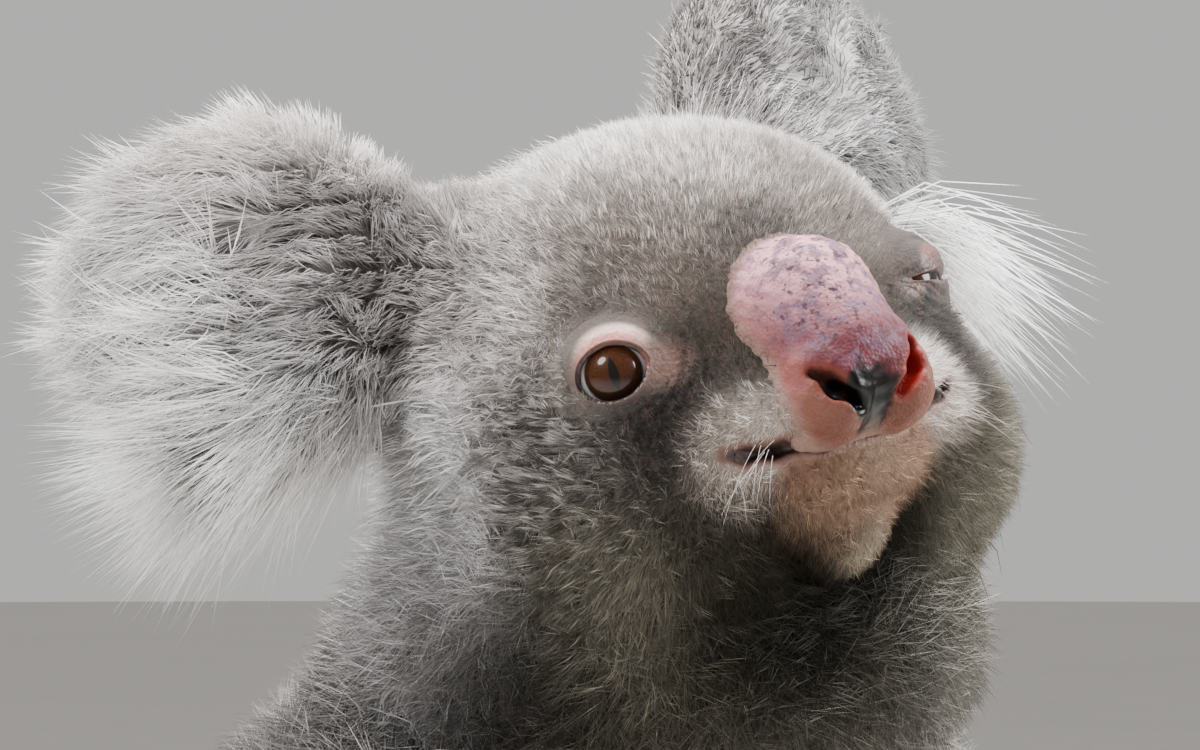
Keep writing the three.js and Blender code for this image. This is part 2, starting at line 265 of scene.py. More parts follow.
# The coat's outer surface over head, chin and ears.
head_coat = joined(
    16,
    ball([0, 44, 6], [61, 55, 48]),
    ball([0, 12, -10], [36, 26, 30]),
    *pair(31, 28, -30, [35, 42, 34]),
    ball([0, -3, -24], [29.5, 26, 17]),
    ball([0, 52, -42], [50, 42, 36]),
    *pair(62, 60, -9, [25, 19, 20]),  # the tufts under the ears
)
chin_coat = joined(6, ball([-0.5, -2, -34], [26, 20.5, 12.5]), ball([-1, 1.5, -43], [13, 15.5, 13]))
ear_coat = joined(
    10,
    carved(ball([-2, 0, 2], [42, 16, 43]), 10, ball([2, -25, 3], [26, 20, 26])),
    limb([4, 2, -14], [40, 4, -46], 28, 16),
    limb([-8, 2, 0], [-38, 6, -8], 17, 24),
)


ARMS = {
    "right": ([-58, 4, 266], [-108, -28, 172], [-78, -112, 62], [-64, -146, 18.5]),
    "left": ([58, 4, 266], [106, -36, 176], [72, -124, 64], [54, -158, 18.5]),
}
LEGS = {
    "right": ([-68, 34, 76], [-128, -66, 98], [-118, -124, 34], [-132, -174, 18]),
    "left": ([68, 34, 76], [132, -58, 96], [122, -118, 34], [132, -170, 18]),
}
# Each digit: degrees outwards from straight ahead, length, shift across the palm, and 1 for a claw.
FINGERS = [(-52, 26, -13, 1), (-24, 30, -9, 1), (2, 33, 0, 1), (20, 34, 7, 1), (40, 30, 12, 1)]
TOES = [(-70, 26, -12, 0), (-16, 33, -8, 1), (10, 38, 2, 1), (34, 34, 11, 1)]
PAW_DEPTH = 3.0  # of the hair on hands and feet


def digit_paths(side, hand):
    """Root, arch and tip of every digit of one paw, with its direction on the floor."""
    s = SIDES[side]
    _, _, wrist, palm = (ARMS if hand else LEGS)[side]
    ahead = math.atan2(palm[1] - wrist[1], palm[0] - wrist[0])
    for degrees, reach, shift, clawed in FINGERS if hand else TOES:
        a = ahead - s * math.radians(degrees)
        root = np.array([palm[0] - shift * s * math.sin(ahead), palm[1] + shift * s * math.cos(ahead), 0.0])
        way = np.array([math.cos(a), math.sin(a), 0.0])
        yield root, way, reach, palm[2], clawed


def paw(side, hand):
    """The palm or sole with its digits."""
    _, _, wrist, palm = (ARMS if hand else LEGS)[side]
    fields = [limb(wrist, palm, 19, 17) if hand else limb(wrist, palm, 24, 19)]
    for root, way, reach, height, _ in digit_paths(side, hand):
        arch = root + way * reach * 0.55 + [0, 0, 12.5]
        tip = root + way * reach + [0, 0, 7.0]
        fields.append(limb(root + [0, 0, height - 4], arch, 8.6, 7.8))
        fields.append(limb(arch, tip, 7.8, 6.0))
    return joined(4, *fields)


def thick(body, depth):
    """A shape under a coat of some depth, and the shape of the coat."""
    return inset(body, depth), body


def flesh_parts():
    """Every part: its flesh and coat, how softly it joins the rest, and the axis of its hair."""
    belly = joined(40, ball([0, 46, 96], [112, 94, 101]), ball([0, 20, 158], [104, 108, 92]))
    breast = joined(40, ball([0, 16, 244], [92, 88, 84]), ball([4, 24, 284], [78, 66, 50]))
    top, under = (from_head(np.array([0, 45, z])) for z in (60, -60))
    lip, chin = from_head(np.array([0, 0, -25])), from_head(np.array([0, 6, -60]))
    parts = {
        "abdomen": (thick(belly, 13), 30, ([0, 20, 200], [0, 40, 20])),
        "chest": (thick(breast, 10), 34, ([4, 20, 310], [0, 14, 200])),
        "neck": (thick(ball([7, -9, 330], [73, 68, 46]), 8), 24, ([6, -20, 370], [4, 0, 300])),
        "head": ((lambda p: skull(to_head(p)), lambda p: head_coat(to_head(p))), 16, (top, under)),
        "jaw": ((lambda p: jaw(to_head(p)), lambda p: chin_coat(to_head(p))), 5, (lip, chin)),
    }
    for side, s in SIDES.items():
        shoulder, elbow, wrist, palm = ARMS[side]
        hip, knee, ankle, sole = LEGS[side]
        root = from_head(EAR_AT[s])
        both = ear(s), lambda p, s=s: ear_coat(to_ear(p, s))
        parts[f"ear_{side}"] = (both, 9, (root, root + ear_to_world(np.array([40.0, 0, 0]), s)))
        for name, a, b, ra, rb, depth, soft in (
            ("upper_arm", shoulder, elbow, 42, 33, 9, 26),
            ("forearm", elbow, wrist, 32, 24, 8, 14),
            ("thigh", hip, knee, 66, 42, 12, 30),
            ("shank", knee, ankle, 39, 28, 8, 16),
        ):
            parts[f"{name}_{side}"] = (thick(limb(a, b, ra, rb), depth), soft, (a, b))
        for name, hand, a, b in (("hand", True, wrist, palm), ("foot", False, ankle, sole)):
            flesh = paw(side, hand)
            parts[f"{name}_{side}"] = ((flesh, inset(flesh, -PAW_DEPTH)), 10, (a, b))
    return parts


PARTS = flesh_parts()
NAMES = list(PARTS)


FACE_REACH = 75.0  # all that is cut into the face lies this near to the head's origin
EYE_BED = 7.9  # radius of the bed of each eyeball
EYE_BED_AHEAD = 6.2


def face_cuts(p, d):
    """Beds for the eyeballs, and the line of the mouth."""
    near = np.linalg.norm(p - HEAD_AT, axis=-1) < FACE_REACH
    q = to_head(p[near])
    cut = -blend(-d[near], mouth(q), 2.0)
    for side in (-1, 1):
        bed = np.linalg.norm(q - eye_centre(side) - eye_axes(side)[2] * EYE_BED_AHEAD, axis=-1)
        cut = -blend(-cut, bed - EYE_BED, 1.0)
    d = d.copy()
    d[near] = cut
    return d


def eye_axes(side):
    """Towards the inner corner, up, and out along the gaze, in the head's frame."""
    gaze = unit(np.array([-0.5, -0.866, 0.03]) @ HEAD_TURN)
    gaze = gaze * [-side, 1, 1]
    inner = tangent(np.array([-side * 1.0, 0.0, 0.06]), gaze)
    up = np.cross(gaze, inner)
    return inner, up if up[2] > 0 else -up, gaze


def uncut_body(p, layer=0):
    """The whole flesh, before the face is cut, or with layer 1 the outer surface of the whole coat."""
    d = np.full(len(p), 1e3)
    for fields, soft, _ in PARTS.values():
        d = blend(d, fields[layer](p), soft)
    return d


def body(p):
    """The whole skin."""
    return face_cuts(p, uncut_body(p))


def slope(field, p, step=0.3):
    """Outward unit normals of a field."""
    parts = [field(p + step * axis) - field(p - step * axis) for axis in np.eye(3)]
    return unit(np.stack(parts, -1))


def settle(field, p, rounds=3, reach=2.0):
    """Moves points onto the field's surface."""
    for _ in range(rounds):
        p = p - slope(field, p) * np.clip(field(p), -reach, reach)[:, None]
    return p


# ---- Meshing a field -----------------------------------------------------------------------------

CORNERS = np.array([[i & 1, (i >> 1) & 1, i >> 2] for i in range(8)])
EDGES = [(i, i | bit) for i in range(8) for bit in (1, 2, 4) if not i & bit]


def surface(field, low, high, step):
    """Points and four-sided faces of the field's surface, one point in each grid cell that it crosses."""
    axes = [np.arange(low[i] - step, high[i] + 2 * step, step) for i in range(3)]
    shape = tuple(len(a) for a in axes)
    values = np.empty(shape)
    for k, z in enumerate(axes[2]):
        x, y = np.meshgrid(axes[0], axes[1], indexing="ij")
        sheet = np.stack([x.ravel(), y.ravel(), np.full(x.size, z)], -1)
        values[:, :, k] = field(sheet).reshape(x.shape)
    inside = values < 0
    nx, ny, nz = (n - 1 for n in shape)
    count = sum(inside[i : nx + i, j : ny + j, k : nz + k].astype(int) for i, j, k in CORNERS)
    cells = np.argwhere((count > 0) & (count < 8))
    index = np.full([n - 1 for n in shape], -1)
    index[tuple(cells.T)] = np.arange(len(cells))
    corner = np.stack([values[tuple((cells + c).T)] for c in CORNERS], -1)
    total, hits = np.zeros((len(cells), 3)), np.zeros(len(cells))
    for a, b in EDGES:
        crossed = (corner[:, a] < 0) != (corner[:, b] < 0)
        t = np.where(crossed, corner[:, a] / np.where(crossed, corner[:, a] - corner[:, b], 1.0), 0.0)
        spot = CORNERS[a] + t[:, None] * (CORNERS[b] - CORNERS[a])
        total += spot * crossed[:, None]
        hits += crossed
    points = (cells + total / hits[:, None]) * step + [a[0] for a in axes]
    quads = []
    for axis, (u, v) in enumerate([(1, 2), (2, 0), (0, 1)]):
        ahead = np.roll(inside, -1, axis)
        edge = np.argwhere(inside != ahead)
        edge = edge[(edge[:, axis] < shape[axis] - 1) & (edge[:, u] > 0) & (edge[:, v] > 0)]
        eu, ev = np.eye(3, dtype=int)[u], np.eye(3, dtype=int)[v]
        ring = np.stack([index[tuple((edge - o).T)] for o in (0 * eu, eu, eu + ev, ev)], -1)
        flip = ~inside[tuple(edge.T)]
        ring[flip] = ring[flip][:, ::-1]
        quads.append(ring)
    return points, np.concatenate(quads)


def mesh_object(name, points, faces, finish):
    """An object from points in mm and equal-sided faces."""
    mesh = bpy.data.meshes.new(name)
    sides = faces.shape[1]
    mesh.vertices.add(len(points))
    mesh.vertices.foreach_set("co", ((points + PLACE) * MM).astype(np.float32).ravel())
    mesh.loops.add(faces.size)
    mesh.loops.foreach_set("vertex_index", faces.astype(np.int32).ravel())
    mesh.polygons.add(len(faces))
    mesh.polygons.foreach_set("loop_start", np.arange(0, faces.size, sides, dtype=np.int32))
    mesh.polygons.foreach_set("use_smooth", np.ones(len(faces), bool))
    mesh.update(calc_edges=True)
    if mesh.validate():
        raise RuntimeError(f"{name} has faulty faces")
    piece = bpy.data.objects.new(name, mesh)
    bpy.context.scene.collection.objects.link(piece)
    mesh.materials.append(finish)
    return piece


@contextmanager
def editing(mesh):
    """A bmesh of the mesh, written back when done."""
    bm = bmesh.new()
    bm.from_mesh(mesh)
    yield bm
    bm.to_mesh(mesh)
    bm.free()


def listed(items, key, width, number=np.float32):
    """One property of all the mesh's points, faces or corners, as rows."""
    flat = np.empty(len(items) * width, number)
    items.foreach_get(key, flat)
    return flat.reshape(-1, width)


def points_of(mesh):
    """Vertex positions in mm, in shape coordinates."""
    return listed(mesh.vertices, "co", 3).astype(float) / MM - PLACE


def set_points(mesh, p):
    """Moves the vertices to positions in mm."""
    mesh.vertices.foreach_set("co", ((p + PLACE) * MM).astype(np.float32).ravel())
    mesh.update()


def paint(mesh, name, colours):
    """Stores a colour for each vertex."""
    layer = mesh.color_attributes.new(name, "FLOAT_COLOR", "POINT")
    rows = np.concatenate([colours, np.ones((len(colours), 1))], -1)
    layer.data.foreach_set("color", np.clip(rows, 0, 1).astype(np.float32).ravel())


def round_faces(rows, around, flip):
    """Four-sided faces between rows of points that each close in a ring."""
    i, j = np.meshgrid(np.arange(rows - 1), np.arange(around), indexing="ij")
    a, b = (i * around + j).ravel(), (i * around + (j + 1) % around).ravel()
    faces = np.stack([a, a + around, b + around, b], -1)
    return faces[:, ::-1] if flip else faces


def store(mesh, name, values):
    """Stores a number for each vertex."""
    layer = mesh.attributes.new(name, "FLOAT", "POINT")
    layer.data.foreach_set("value", np.asarray(values, np.float32))


# ---- Where hair lies, how long it is and what colour ---------------------------------------------

# For each kind of part: direction of the hair (None: along the part's axis), its length and thickness
# in mm, the share of the coat's depth that it reaches, and how much it curls.
COAT = {
    "abdomen": ((0.0, 0.35, -1.0), 21.0, 0.85, 1.0, 0.6),
    "chest": ((0.0, 0.1, -1.0), 18.0, 0.75, 1.0, 0.6),
    "neck": ((0.0, 0.3, -1.0), 14.0, 0.6, 1.0, 0.65),
    "head": (None, 7.5, 0.4, 1.0, 0.5),
    "jaw": ((0.0, 0.2, -1.0), 3.0, 0.25, 0.9, 0.25),
    "ear": (None, 22.0, 0.4, 1.0, 0.4),
    "upper_arm": (None, 15.0, 0.75, 1.0, 0.55),
    "forearm": (None, 13.0, 0.75, 1.0, 0.5),
    "hand": (None, 6.0, 0.6, 0.8, 0.3),
    "thigh": (None, 19.0, 0.85, 1.0, 0.55),
    "shank": (None, 13.0, 0.75, 1.0, 0.5),
    "foot": (None, 6.0, 0.6, 0.8, 0.3),
}

# Zones of the head, in its own frame, each on both sides of it: place, reach, the colour of the hair's
# tips as it is seen, and the hair's length.
HEAD_ZONES = {
    "forehead": ((20, 2, 30), 20, (137, 128, 123), 2.6),
    "forehead middle": ((0, 9, 39), 16, (206, 197, 191), 2.8),
    "crown": ((10, 40, 52), 26, (236, 229, 225), 4.0),
    "brow": ((37, -1, 15), 8, (98, 90, 87), 2.4),
    # A dark band of painted shade over the top edge of the nose.
    "painted shade over the nose": ((4, -10, 23), 7.5, (6, 5, 4), 2.4),
    "inner brow": ((22, -8, 14), 8, (112, 103, 95), 2.2),
    "beside the nose": ((21, -11, 3), 10.5, (48, 42, 34), 1.8),
    "under the eye": ((41, -8, -15), 14.5, (10, 9, 7), 2.4),
    "muzzle side": ((27, -16, -22), 7.5, (236, 223, 216), 2.1),
    "muzzle low": ((30, -13, -24), 6, (236, 224, 216), 3.0),
    "cheek": ((55, 10, -12), 16, (140, 134, 130), 3.4),
    "low cheek": ((56, 2, -38), 16, (122, 118, 107), 4.0),
    # The jowl, throat and throat pit are darkened with painted shade under the raised head; the jowl is
    # partly its own darker colour.
    "jowl": ((36, -4, -40), 10, (56, 53, 44), 4.0),
    "throat": ((26, -3, -56), 14, (30, 29, 20), 6.0),
    "painted shade in the throat pit": ((0, 4, -66), 14, (6, 6, 4), 7.0),
    "behind the cheek": ((60, 52, -4), 17, (242, 240, 241), 7.5),
    "temple": ((50, 26, 24), 14, (226, 219, 217), 4.6),
    "under the ear": ((66, 46, -30), 16, (180, 178, 178), 10.0),
    "tuft under the ear": ((80, 58, -9), 14, (226, 224, 225), 16.0),
    # Painted shade on the ruff below the cheek.
    "painted shade on the low ruff": ((66, 32, -52), 13, (26, 25, 22), 8.0),
    "nape": ((0, 92, 10), 34, (150, 145, 141), 11.0),
    "lower lip": ((14, -20, -31), 6, (128, 96, 80), 1.0),
    "chin": ((8, -15, -39), 8, (140, 116, 98), 1.1),
    "chin tip": ((0, -8, -51), 5, (160, 148, 128), 3.0),
    "mouth corner": ((29, -10, -29), 5, (186, 176, 166), 3.6),
}
# Zones of the body: the same, but the hair's length comes from COAT.
BODY_ZONES = {
    "shoulder": ((84, 10, 262), 54, (108, 105, 102)),
    "nape": ((0, 60, 320), 50, (122, 118, 115)),
    "back": ((0, 110, 200), 90, (128, 124, 121)),
    "rump": ((0, 140, 70), 60, (150, 144, 138)),
    "flank": ((100, 50, 120), 60, (124, 120, 117)),
    # The throat, breast and neck crease are painted shade under the head, not the coat's own colour.
    "throat": ((2, -77, 331), 20, (4, 4, 2)),
    "breast": ((26, -70, 308), 26, (96, 92, 76)),
    "painted shade in the neck crease": ((60, -36, 322), 28, (7, 7, 6)),
    "bib": ((0, -70, 262), 44, (214, 209, 202)),
    "belly": ((0, -80, 140), 70, (196, 190, 182)),
    "arm": ((110, -30, 180), 46, (134, 130, 127)),
    "inner arm": ((72, -70, 130), 34, (176, 171, 166)),
    "wrist": ((70, -140, 40), 34, (150, 146, 142)),
    "thigh": ((125, -10, 110), 50, (118, 114, 111)),
    "inner thigh": ((70, -60, 70), 40, (190, 184, 177)),
    "foot": ((128, -160, 20), 40, (146, 141, 136)),
}
# Zones of both ears, in each ear's own frame.
EAR_ZONES = {
    "inside": ((2, -8, 2), 18, (234, 232, 232), 22.0),
    "rim": ((18, -2, 16), 20, (224, 221, 220), 24.0),
    "back": ((-6, 12, 6), 22, (176, 169, 166), 12.0),
    "lower fringe": ((10, 0, -26), 18, (247, 247, 246), 46.0),
    "upper edge": ((-8, -3, 37), 12, (226, 219, 215), 11.0),
    "rim at the crown": ((-30, -4, 27), 10, (216, 210, 207), 7.0),
    # The streak, hollow, fold and root of the ear mix its own dark hair with painted shade in the ear's
    # hollow.
    "dark streak and painted shade": ((-17, -12, 17), 7, (90, 85, 86), 8.0),
    "dark hollow and painted shade": ((-13, -18, -10), 13, (26, 23, 22), 7.0),
    "dark fold and painted shade": ((-15, -15, -29), 8.5, (44, 42, 41), 8.0),
    "wool and painted shade at the root": ((-29, -14, 3), 12, (118, 113, 113), 7.0),
    "by the cheek": ((-26, -8, -40), 9, (214, 212, 214), 20.0),
}


def zoned(p, zones, mirrored):
    """The colour and hair length at each point, mixed from zones by distance."""
    total, weight = np.zeros((len(p), 4)), np.zeros(len(p))
    if mirrored:
        p = np.stack([np.abs(p[:, 0]), p[:, 1], p[:, 2]], -1)
    for place, reach, seen, *length in zones.values():
        d2 = ((p - place) ** 2).sum(-1) / reach**2
        w = np.exp(-np.minimum(d2, 60.0) * 1.2) + 1e-4 / (1.0 + d2 * d2)
        total += w[:, None] * np.append(tone(*seen), length or [0.0])
        weight += w
    return total / weight[:, None]


UNDERCOAT = [1, 0.95, 0.85]  # the hair is browner near the skin
EAR_DEPTH = 0.94  # how light the ears' hair is near the skin


def coat_look(p, shares):
    """For roots at p: the colour of the tips, the colour near the skin, and the hair's length."""
    q = to_head(p)
    ears = {s: shares[:, NAMES.index(f"ear_{side}")] for side, s in SIDES.items()}
    head = shares[:, NAMES.index("head")] + shares[:, NAMES.index("jaw")]
    near = np.clip(head + 0.5 * shares[:, NAMES.index("neck")], 0, 1)
    torso = 1.0 - np.clip(near + ears[-1] + ears[1], 0, 1)
    body_look, head_look = zoned(p, BODY_ZONES, True), zoned(q, HEAD_ZONES, True)
    table = np.array([COAT[kind(name)][1] for name in NAMES])
    own = np.array([kind(name) not in ("head", "ear") for name in NAMES])
    length = shares @ (table * own) + head_look[:, 3] * shares[:, NAMES.index("head")]
    # The painted shade of the jowls, throat and neck is mirrored to both sides; here the left side, out of
    # that shade, is painted paler again.
    left_jowl_out_of_shade = 0.42 * smooth(16, 28, q[:, 0]) * smooth(-26, -42, q[:, 2])
    on_head = mix(head_look[:, :3], tone(142, 138, 124), left_jowl_out_of_shade)
    left_neck_out_of_shade = 0.8 * smooth(14, 40, p[:, 0]) * smooth(280, 300, p[:, 2])
    on_body = mix(body_look[:, :3], tone(150, 147, 142), left_neck_out_of_shade)
    tip = on_body * torso[:, None] + on_head * near[:, None]
    pale = 0.30 + 0.36 * (1 - smooth(1.4, 2.4, head_look[:, 3:]))
    deep = on_body * (torso * 0.24)[:, None] + on_head * pale * UNDERCOAT * near[:, None]
    for s, share in ears.items():
        look = zoned(to_ear(p, s), EAR_ZONES, False)
        tip += look[:, :3] * share[:, None]
        deep += look[:, :3] * share[:, None] * EAR_DEPTH
        length += look[:, 3] * share
    blotch = waves(p, 26.0, 11, 1)[:, 0] * 0.6 + waves(p, 9.0, 12, 1)[:, 0] * 0.4
    light = (1.0 + 0.14 * blotch)[:, None]
    return tip * light, deep * light, length


def part_shares(p):
    """How much each part owns each point, each row adding to 1."""
    d = np.stack([fields[0](p) for fields, _, _ in PARTS.values()], -1)
    w = np.exp(-np.clip(d - d.min(-1, keepdims=True), 0, 200) / 7.0)
    return w / w.sum(-1, keepdims=True)


def kind(name):
    """A part's name without its side."""
    return name.rsplit("_", 1)[0] if name.endswith(("_left", "_right")) else name


def flow_field(p, n, shares):
    """The direction in which hair lies at each point."""
    q = to_head(p)
    total = np.zeros_like(p)
    for i, name in enumerate(NAMES):
        way, axis = COAT[kind(name)][0], PARTS[name][2]
        share = shares[:, i : i + 1]
        if name == "head":
            away = unit(q - np.array([0.0, -30.0, -6.0])) + np.array([0.0, 0.25, 0.0])
            cheeks = smooth(4, -30, q[:, 2:3]) * smooth(20, 45, np.abs(q[:, :1]))
            away = away - np.array([0.0, -0.1, 0.75]) * cheeks
            total += share * (away @ HEAD_TURN.T)
        elif kind(name) == "ear":
            total += share * ear_flow(p, SIDES[name[4:]])
        elif way:
            total += share * np.array(way)
        else:
            total += share * unit(np.array(axis[1], float) - np.array(axis[0], float))
    return tangent(total, n)


def ear_flow(p, side):
    """Ear hair streams outwards from the ear's root, gathers towards a tip and hangs below it."""
    e = to_ear(p, side)
    low = smooth(-8, -26, e[:, 2:3])
    away = unit(e - np.array([-44.0, 4.0, -4.0]))
    if side > 0:
        return ear_to_world(away * (1 - 0.75 * low) + unit(np.array([62.0, 0.0, -86.0]) - e) * low, side)
    away[:, 2] *= 1 - 0.6 * low[:, 0]
    goal = np.array([62.0, 0.0, 10.0]) * (1 - low) + np.array([72.0, 0.0, -58.0]) * low
    goal = goal - np.array([46.0, 0.0, 12.0]) * low * smooth(12, -14, e[:, :1])
    return ear_to_world(away * 0.55 + unit(goal - e) * 0.6, side)


# ---- Patches of bare skin, in the head's frame ---------------------------------------------------


def eye_plane(p, side):
    """Across the eye towards its inner corner, up, and out from it, in mm from the eyeball's centre."""
    q = to_head(p) - eye_centre(side)
    return tuple(q @ axis for axis in eye_axes(side))


def bare(p):
    """1 where the skin has no hair: the lids, the eyes' inner corners, the nose's edge, the lips."""
    q = to_head(p)
    out = np.zeros(len(p))
    for side in (-1, 1):
        inner, up, ahead = eye_plane(p, side)
        lids = np.hypot((inner - 0.4) / np.where(inner < 0.4, 8.3, 9.2), (up - 1.9) / 7.7)
        corner = np.hypot((inner - 9.5) / 7.5, (up + 2.2) / 5.6)
        if side > 0:  # smaller on the eye that is nearly shut
            lids, corner = lids * 1.7, corner * 2.0
        naked = np.maximum(1 - smooth(0.84, 1.14, lids), 0.93 * (1 - smooth(0.35, 1.25, corner)))
        out = np.maximum(out, (ahead > 0) * naked)
    out = np.maximum(out, 1 - smooth(-1.3, -0.1, nose_field(q)))
    out = np.maximum(out, 1 - smooth(1.0, 2.4, mouth(q)))
    return out


def nose_field(q):
    """The nose pad."""
    lobes = [ball([-7.0, -23.5, -18.6], [7.0, 10.2, 9.4]), ball([9.4, -23.5, -19.8], [7.0, 10.4, 9.8])]
    rims = [limb([s * 11.2, -24.5, -11.5], [s * 10.0, -26.0, -21], 2.9, 3.9) for s in (-1, 1)]
    return joined(3, joined(6, bridge, *lobes), *rims)(q)


def nostrils(q):
    """The two comma-shaped openings."""
    q = np.stack([np.abs(q[:, 0]), (q[:, 1] + 31.0) * 0.22, q[:, 2]], -1)
    lower = limb([5.6, 0, -22.6], [9.6, 0, -18.6], 0.9, 1.7)
    upper = limb([9.4, 0, -18.4], [11.9, 0, -13.4], 1.7, 1.2)
    return joined(1.2, lower, upper)(q)


def nose_pad(q):
    """The nose with its nostrils, the cleft between its lobes and its wrinkled rim."""
    bend = [0, -34, -26]
    cleft = joined(2, limb([0, -37.5, -19], bend, 0.6, 1.5), limb(bend, [0, -27, -33], 1.5, 1.6))
    d = carved(carved(nose_field, 2.0, nostrils), 3.0, cleft)(q)
    d = np.maximum(blend(d, skull(q) + 0.9, 7.0), nose_field(q) - 4.5)  # a soft foot on the face
    rim = smooth(2, 12, np.hypot(q[:, 0], (q[:, 2] - 10) * 0.7)) * smooth(-8, 6, q[:, 2])
    wrinkle = np.sin(np.arctan2(q[:, 0], q[:, 2] + 4) * 34 + waves(q, 9, 5, 1)[:, 0] * 2.2)
    return d + 0.10 * rim * wrinkle + 0.12 * waves(q, 4.5, 6, 1)[:, 0]


# ---- The coat: closed three-sided tufts ----------------------------------------------------------


PRIMES = np.array([73856093, 19349663, 83492791])  # for scattering the knots
SEED_PRIME = 2654435761


def nearest_knot(p, size, seed):
    """The nearest of many scattered points, about one for each cube of the given size."""
    base = np.floor(p / size).astype(np.int64)
    best, at = np.full(len(p), np.inf), np.zeros_like(p)
    for step in np.ndindex(3, 3, 3):
        cell = base + step - 1
        h = np.bitwise_xor.reduce(cell * PRIMES, axis=1) ^ (seed * SEED_PRIME)
        jitter = np.stack([((h >> shift) & 1023) / 1023.0 for shift in (3, 13, 23)], -1)
        spot = (cell + jitter) * size
        d = ((p - spot) ** 2).sum(-1)
        closer = d < best
        best[closer], at[closer] = d[closer], spot[closer]
    return at


def flat_tiles():
    """The tile of the coat's flat map that each part fills: left, bottom, width and height."""
    tiles = {"head": (0.0, 0.5, 0.5, 0.5), "chest": (0.5, 0.5, 0.25, 0.5)}
    tiles["abdomen"] = (0.75, 0.5, 0.25, 0.5)
    for i, name in enumerate(["neck", "jaw", "ear_right", "ear_left"]):
        tiles[name] = (i * 0.25, 0.25, 0.25, 0.25)
    rest = [name for name in NAMES if name not in tiles]
    for i, name in enumerate(rest):
        tiles[name] = (i / len(rest), 0.0, 1.0 / len(rest), 0.25)
    return tiles


TILES = flat_tiles()
TILE_EDGE = 0.02  # free margin of each tile


def unwrap(p, part):
    """Flat coordinates of skin points: each part is unrolled round its axis into a tile of its own."""
    out = np.zeros((len(p), 2))
    for i, name in enumerate(NAMES):
        own = part == i
        if not own.any():
            continue
        a, b = (np.array(v, float) for v in PARTS[name][2])
        way = unit(b - a)
        side = tangent(np.array([0.31, 0.95, 0.07]), way)
        q = p[own] - (a + b) / 2
        turn = np.arctan2(q @ side, q @ np.cross(way, side)) / (2 * math.pi) + 0.5
        along = q @ way
        along = (along - along.min()) / max(np.ptp(along), 1e-6)
        x, y, wide, tall = TILES[name]
        spot = TILE_EDGE + (1 - 2 * TILE_EDGE) * np.stack([turn, along], -1)
        out[own] = [x, y] + spot * [wide, tall]
    return out


# These numbers give each lock of hair a direction of its own.
LOCK_TURNS = np.array([[1.3, 2.9, 3.1], [2.1, 1.7, 0.7], [3.7, 0.9, 2.3]])
ROOT_DEPTH = 0.5  # how far below the skin a tuft starts, in mm
TUFT_PATCH = 0.0015  # half the size of a tuft's patch on the flat map
TUFT_FLATNESS = 0.62


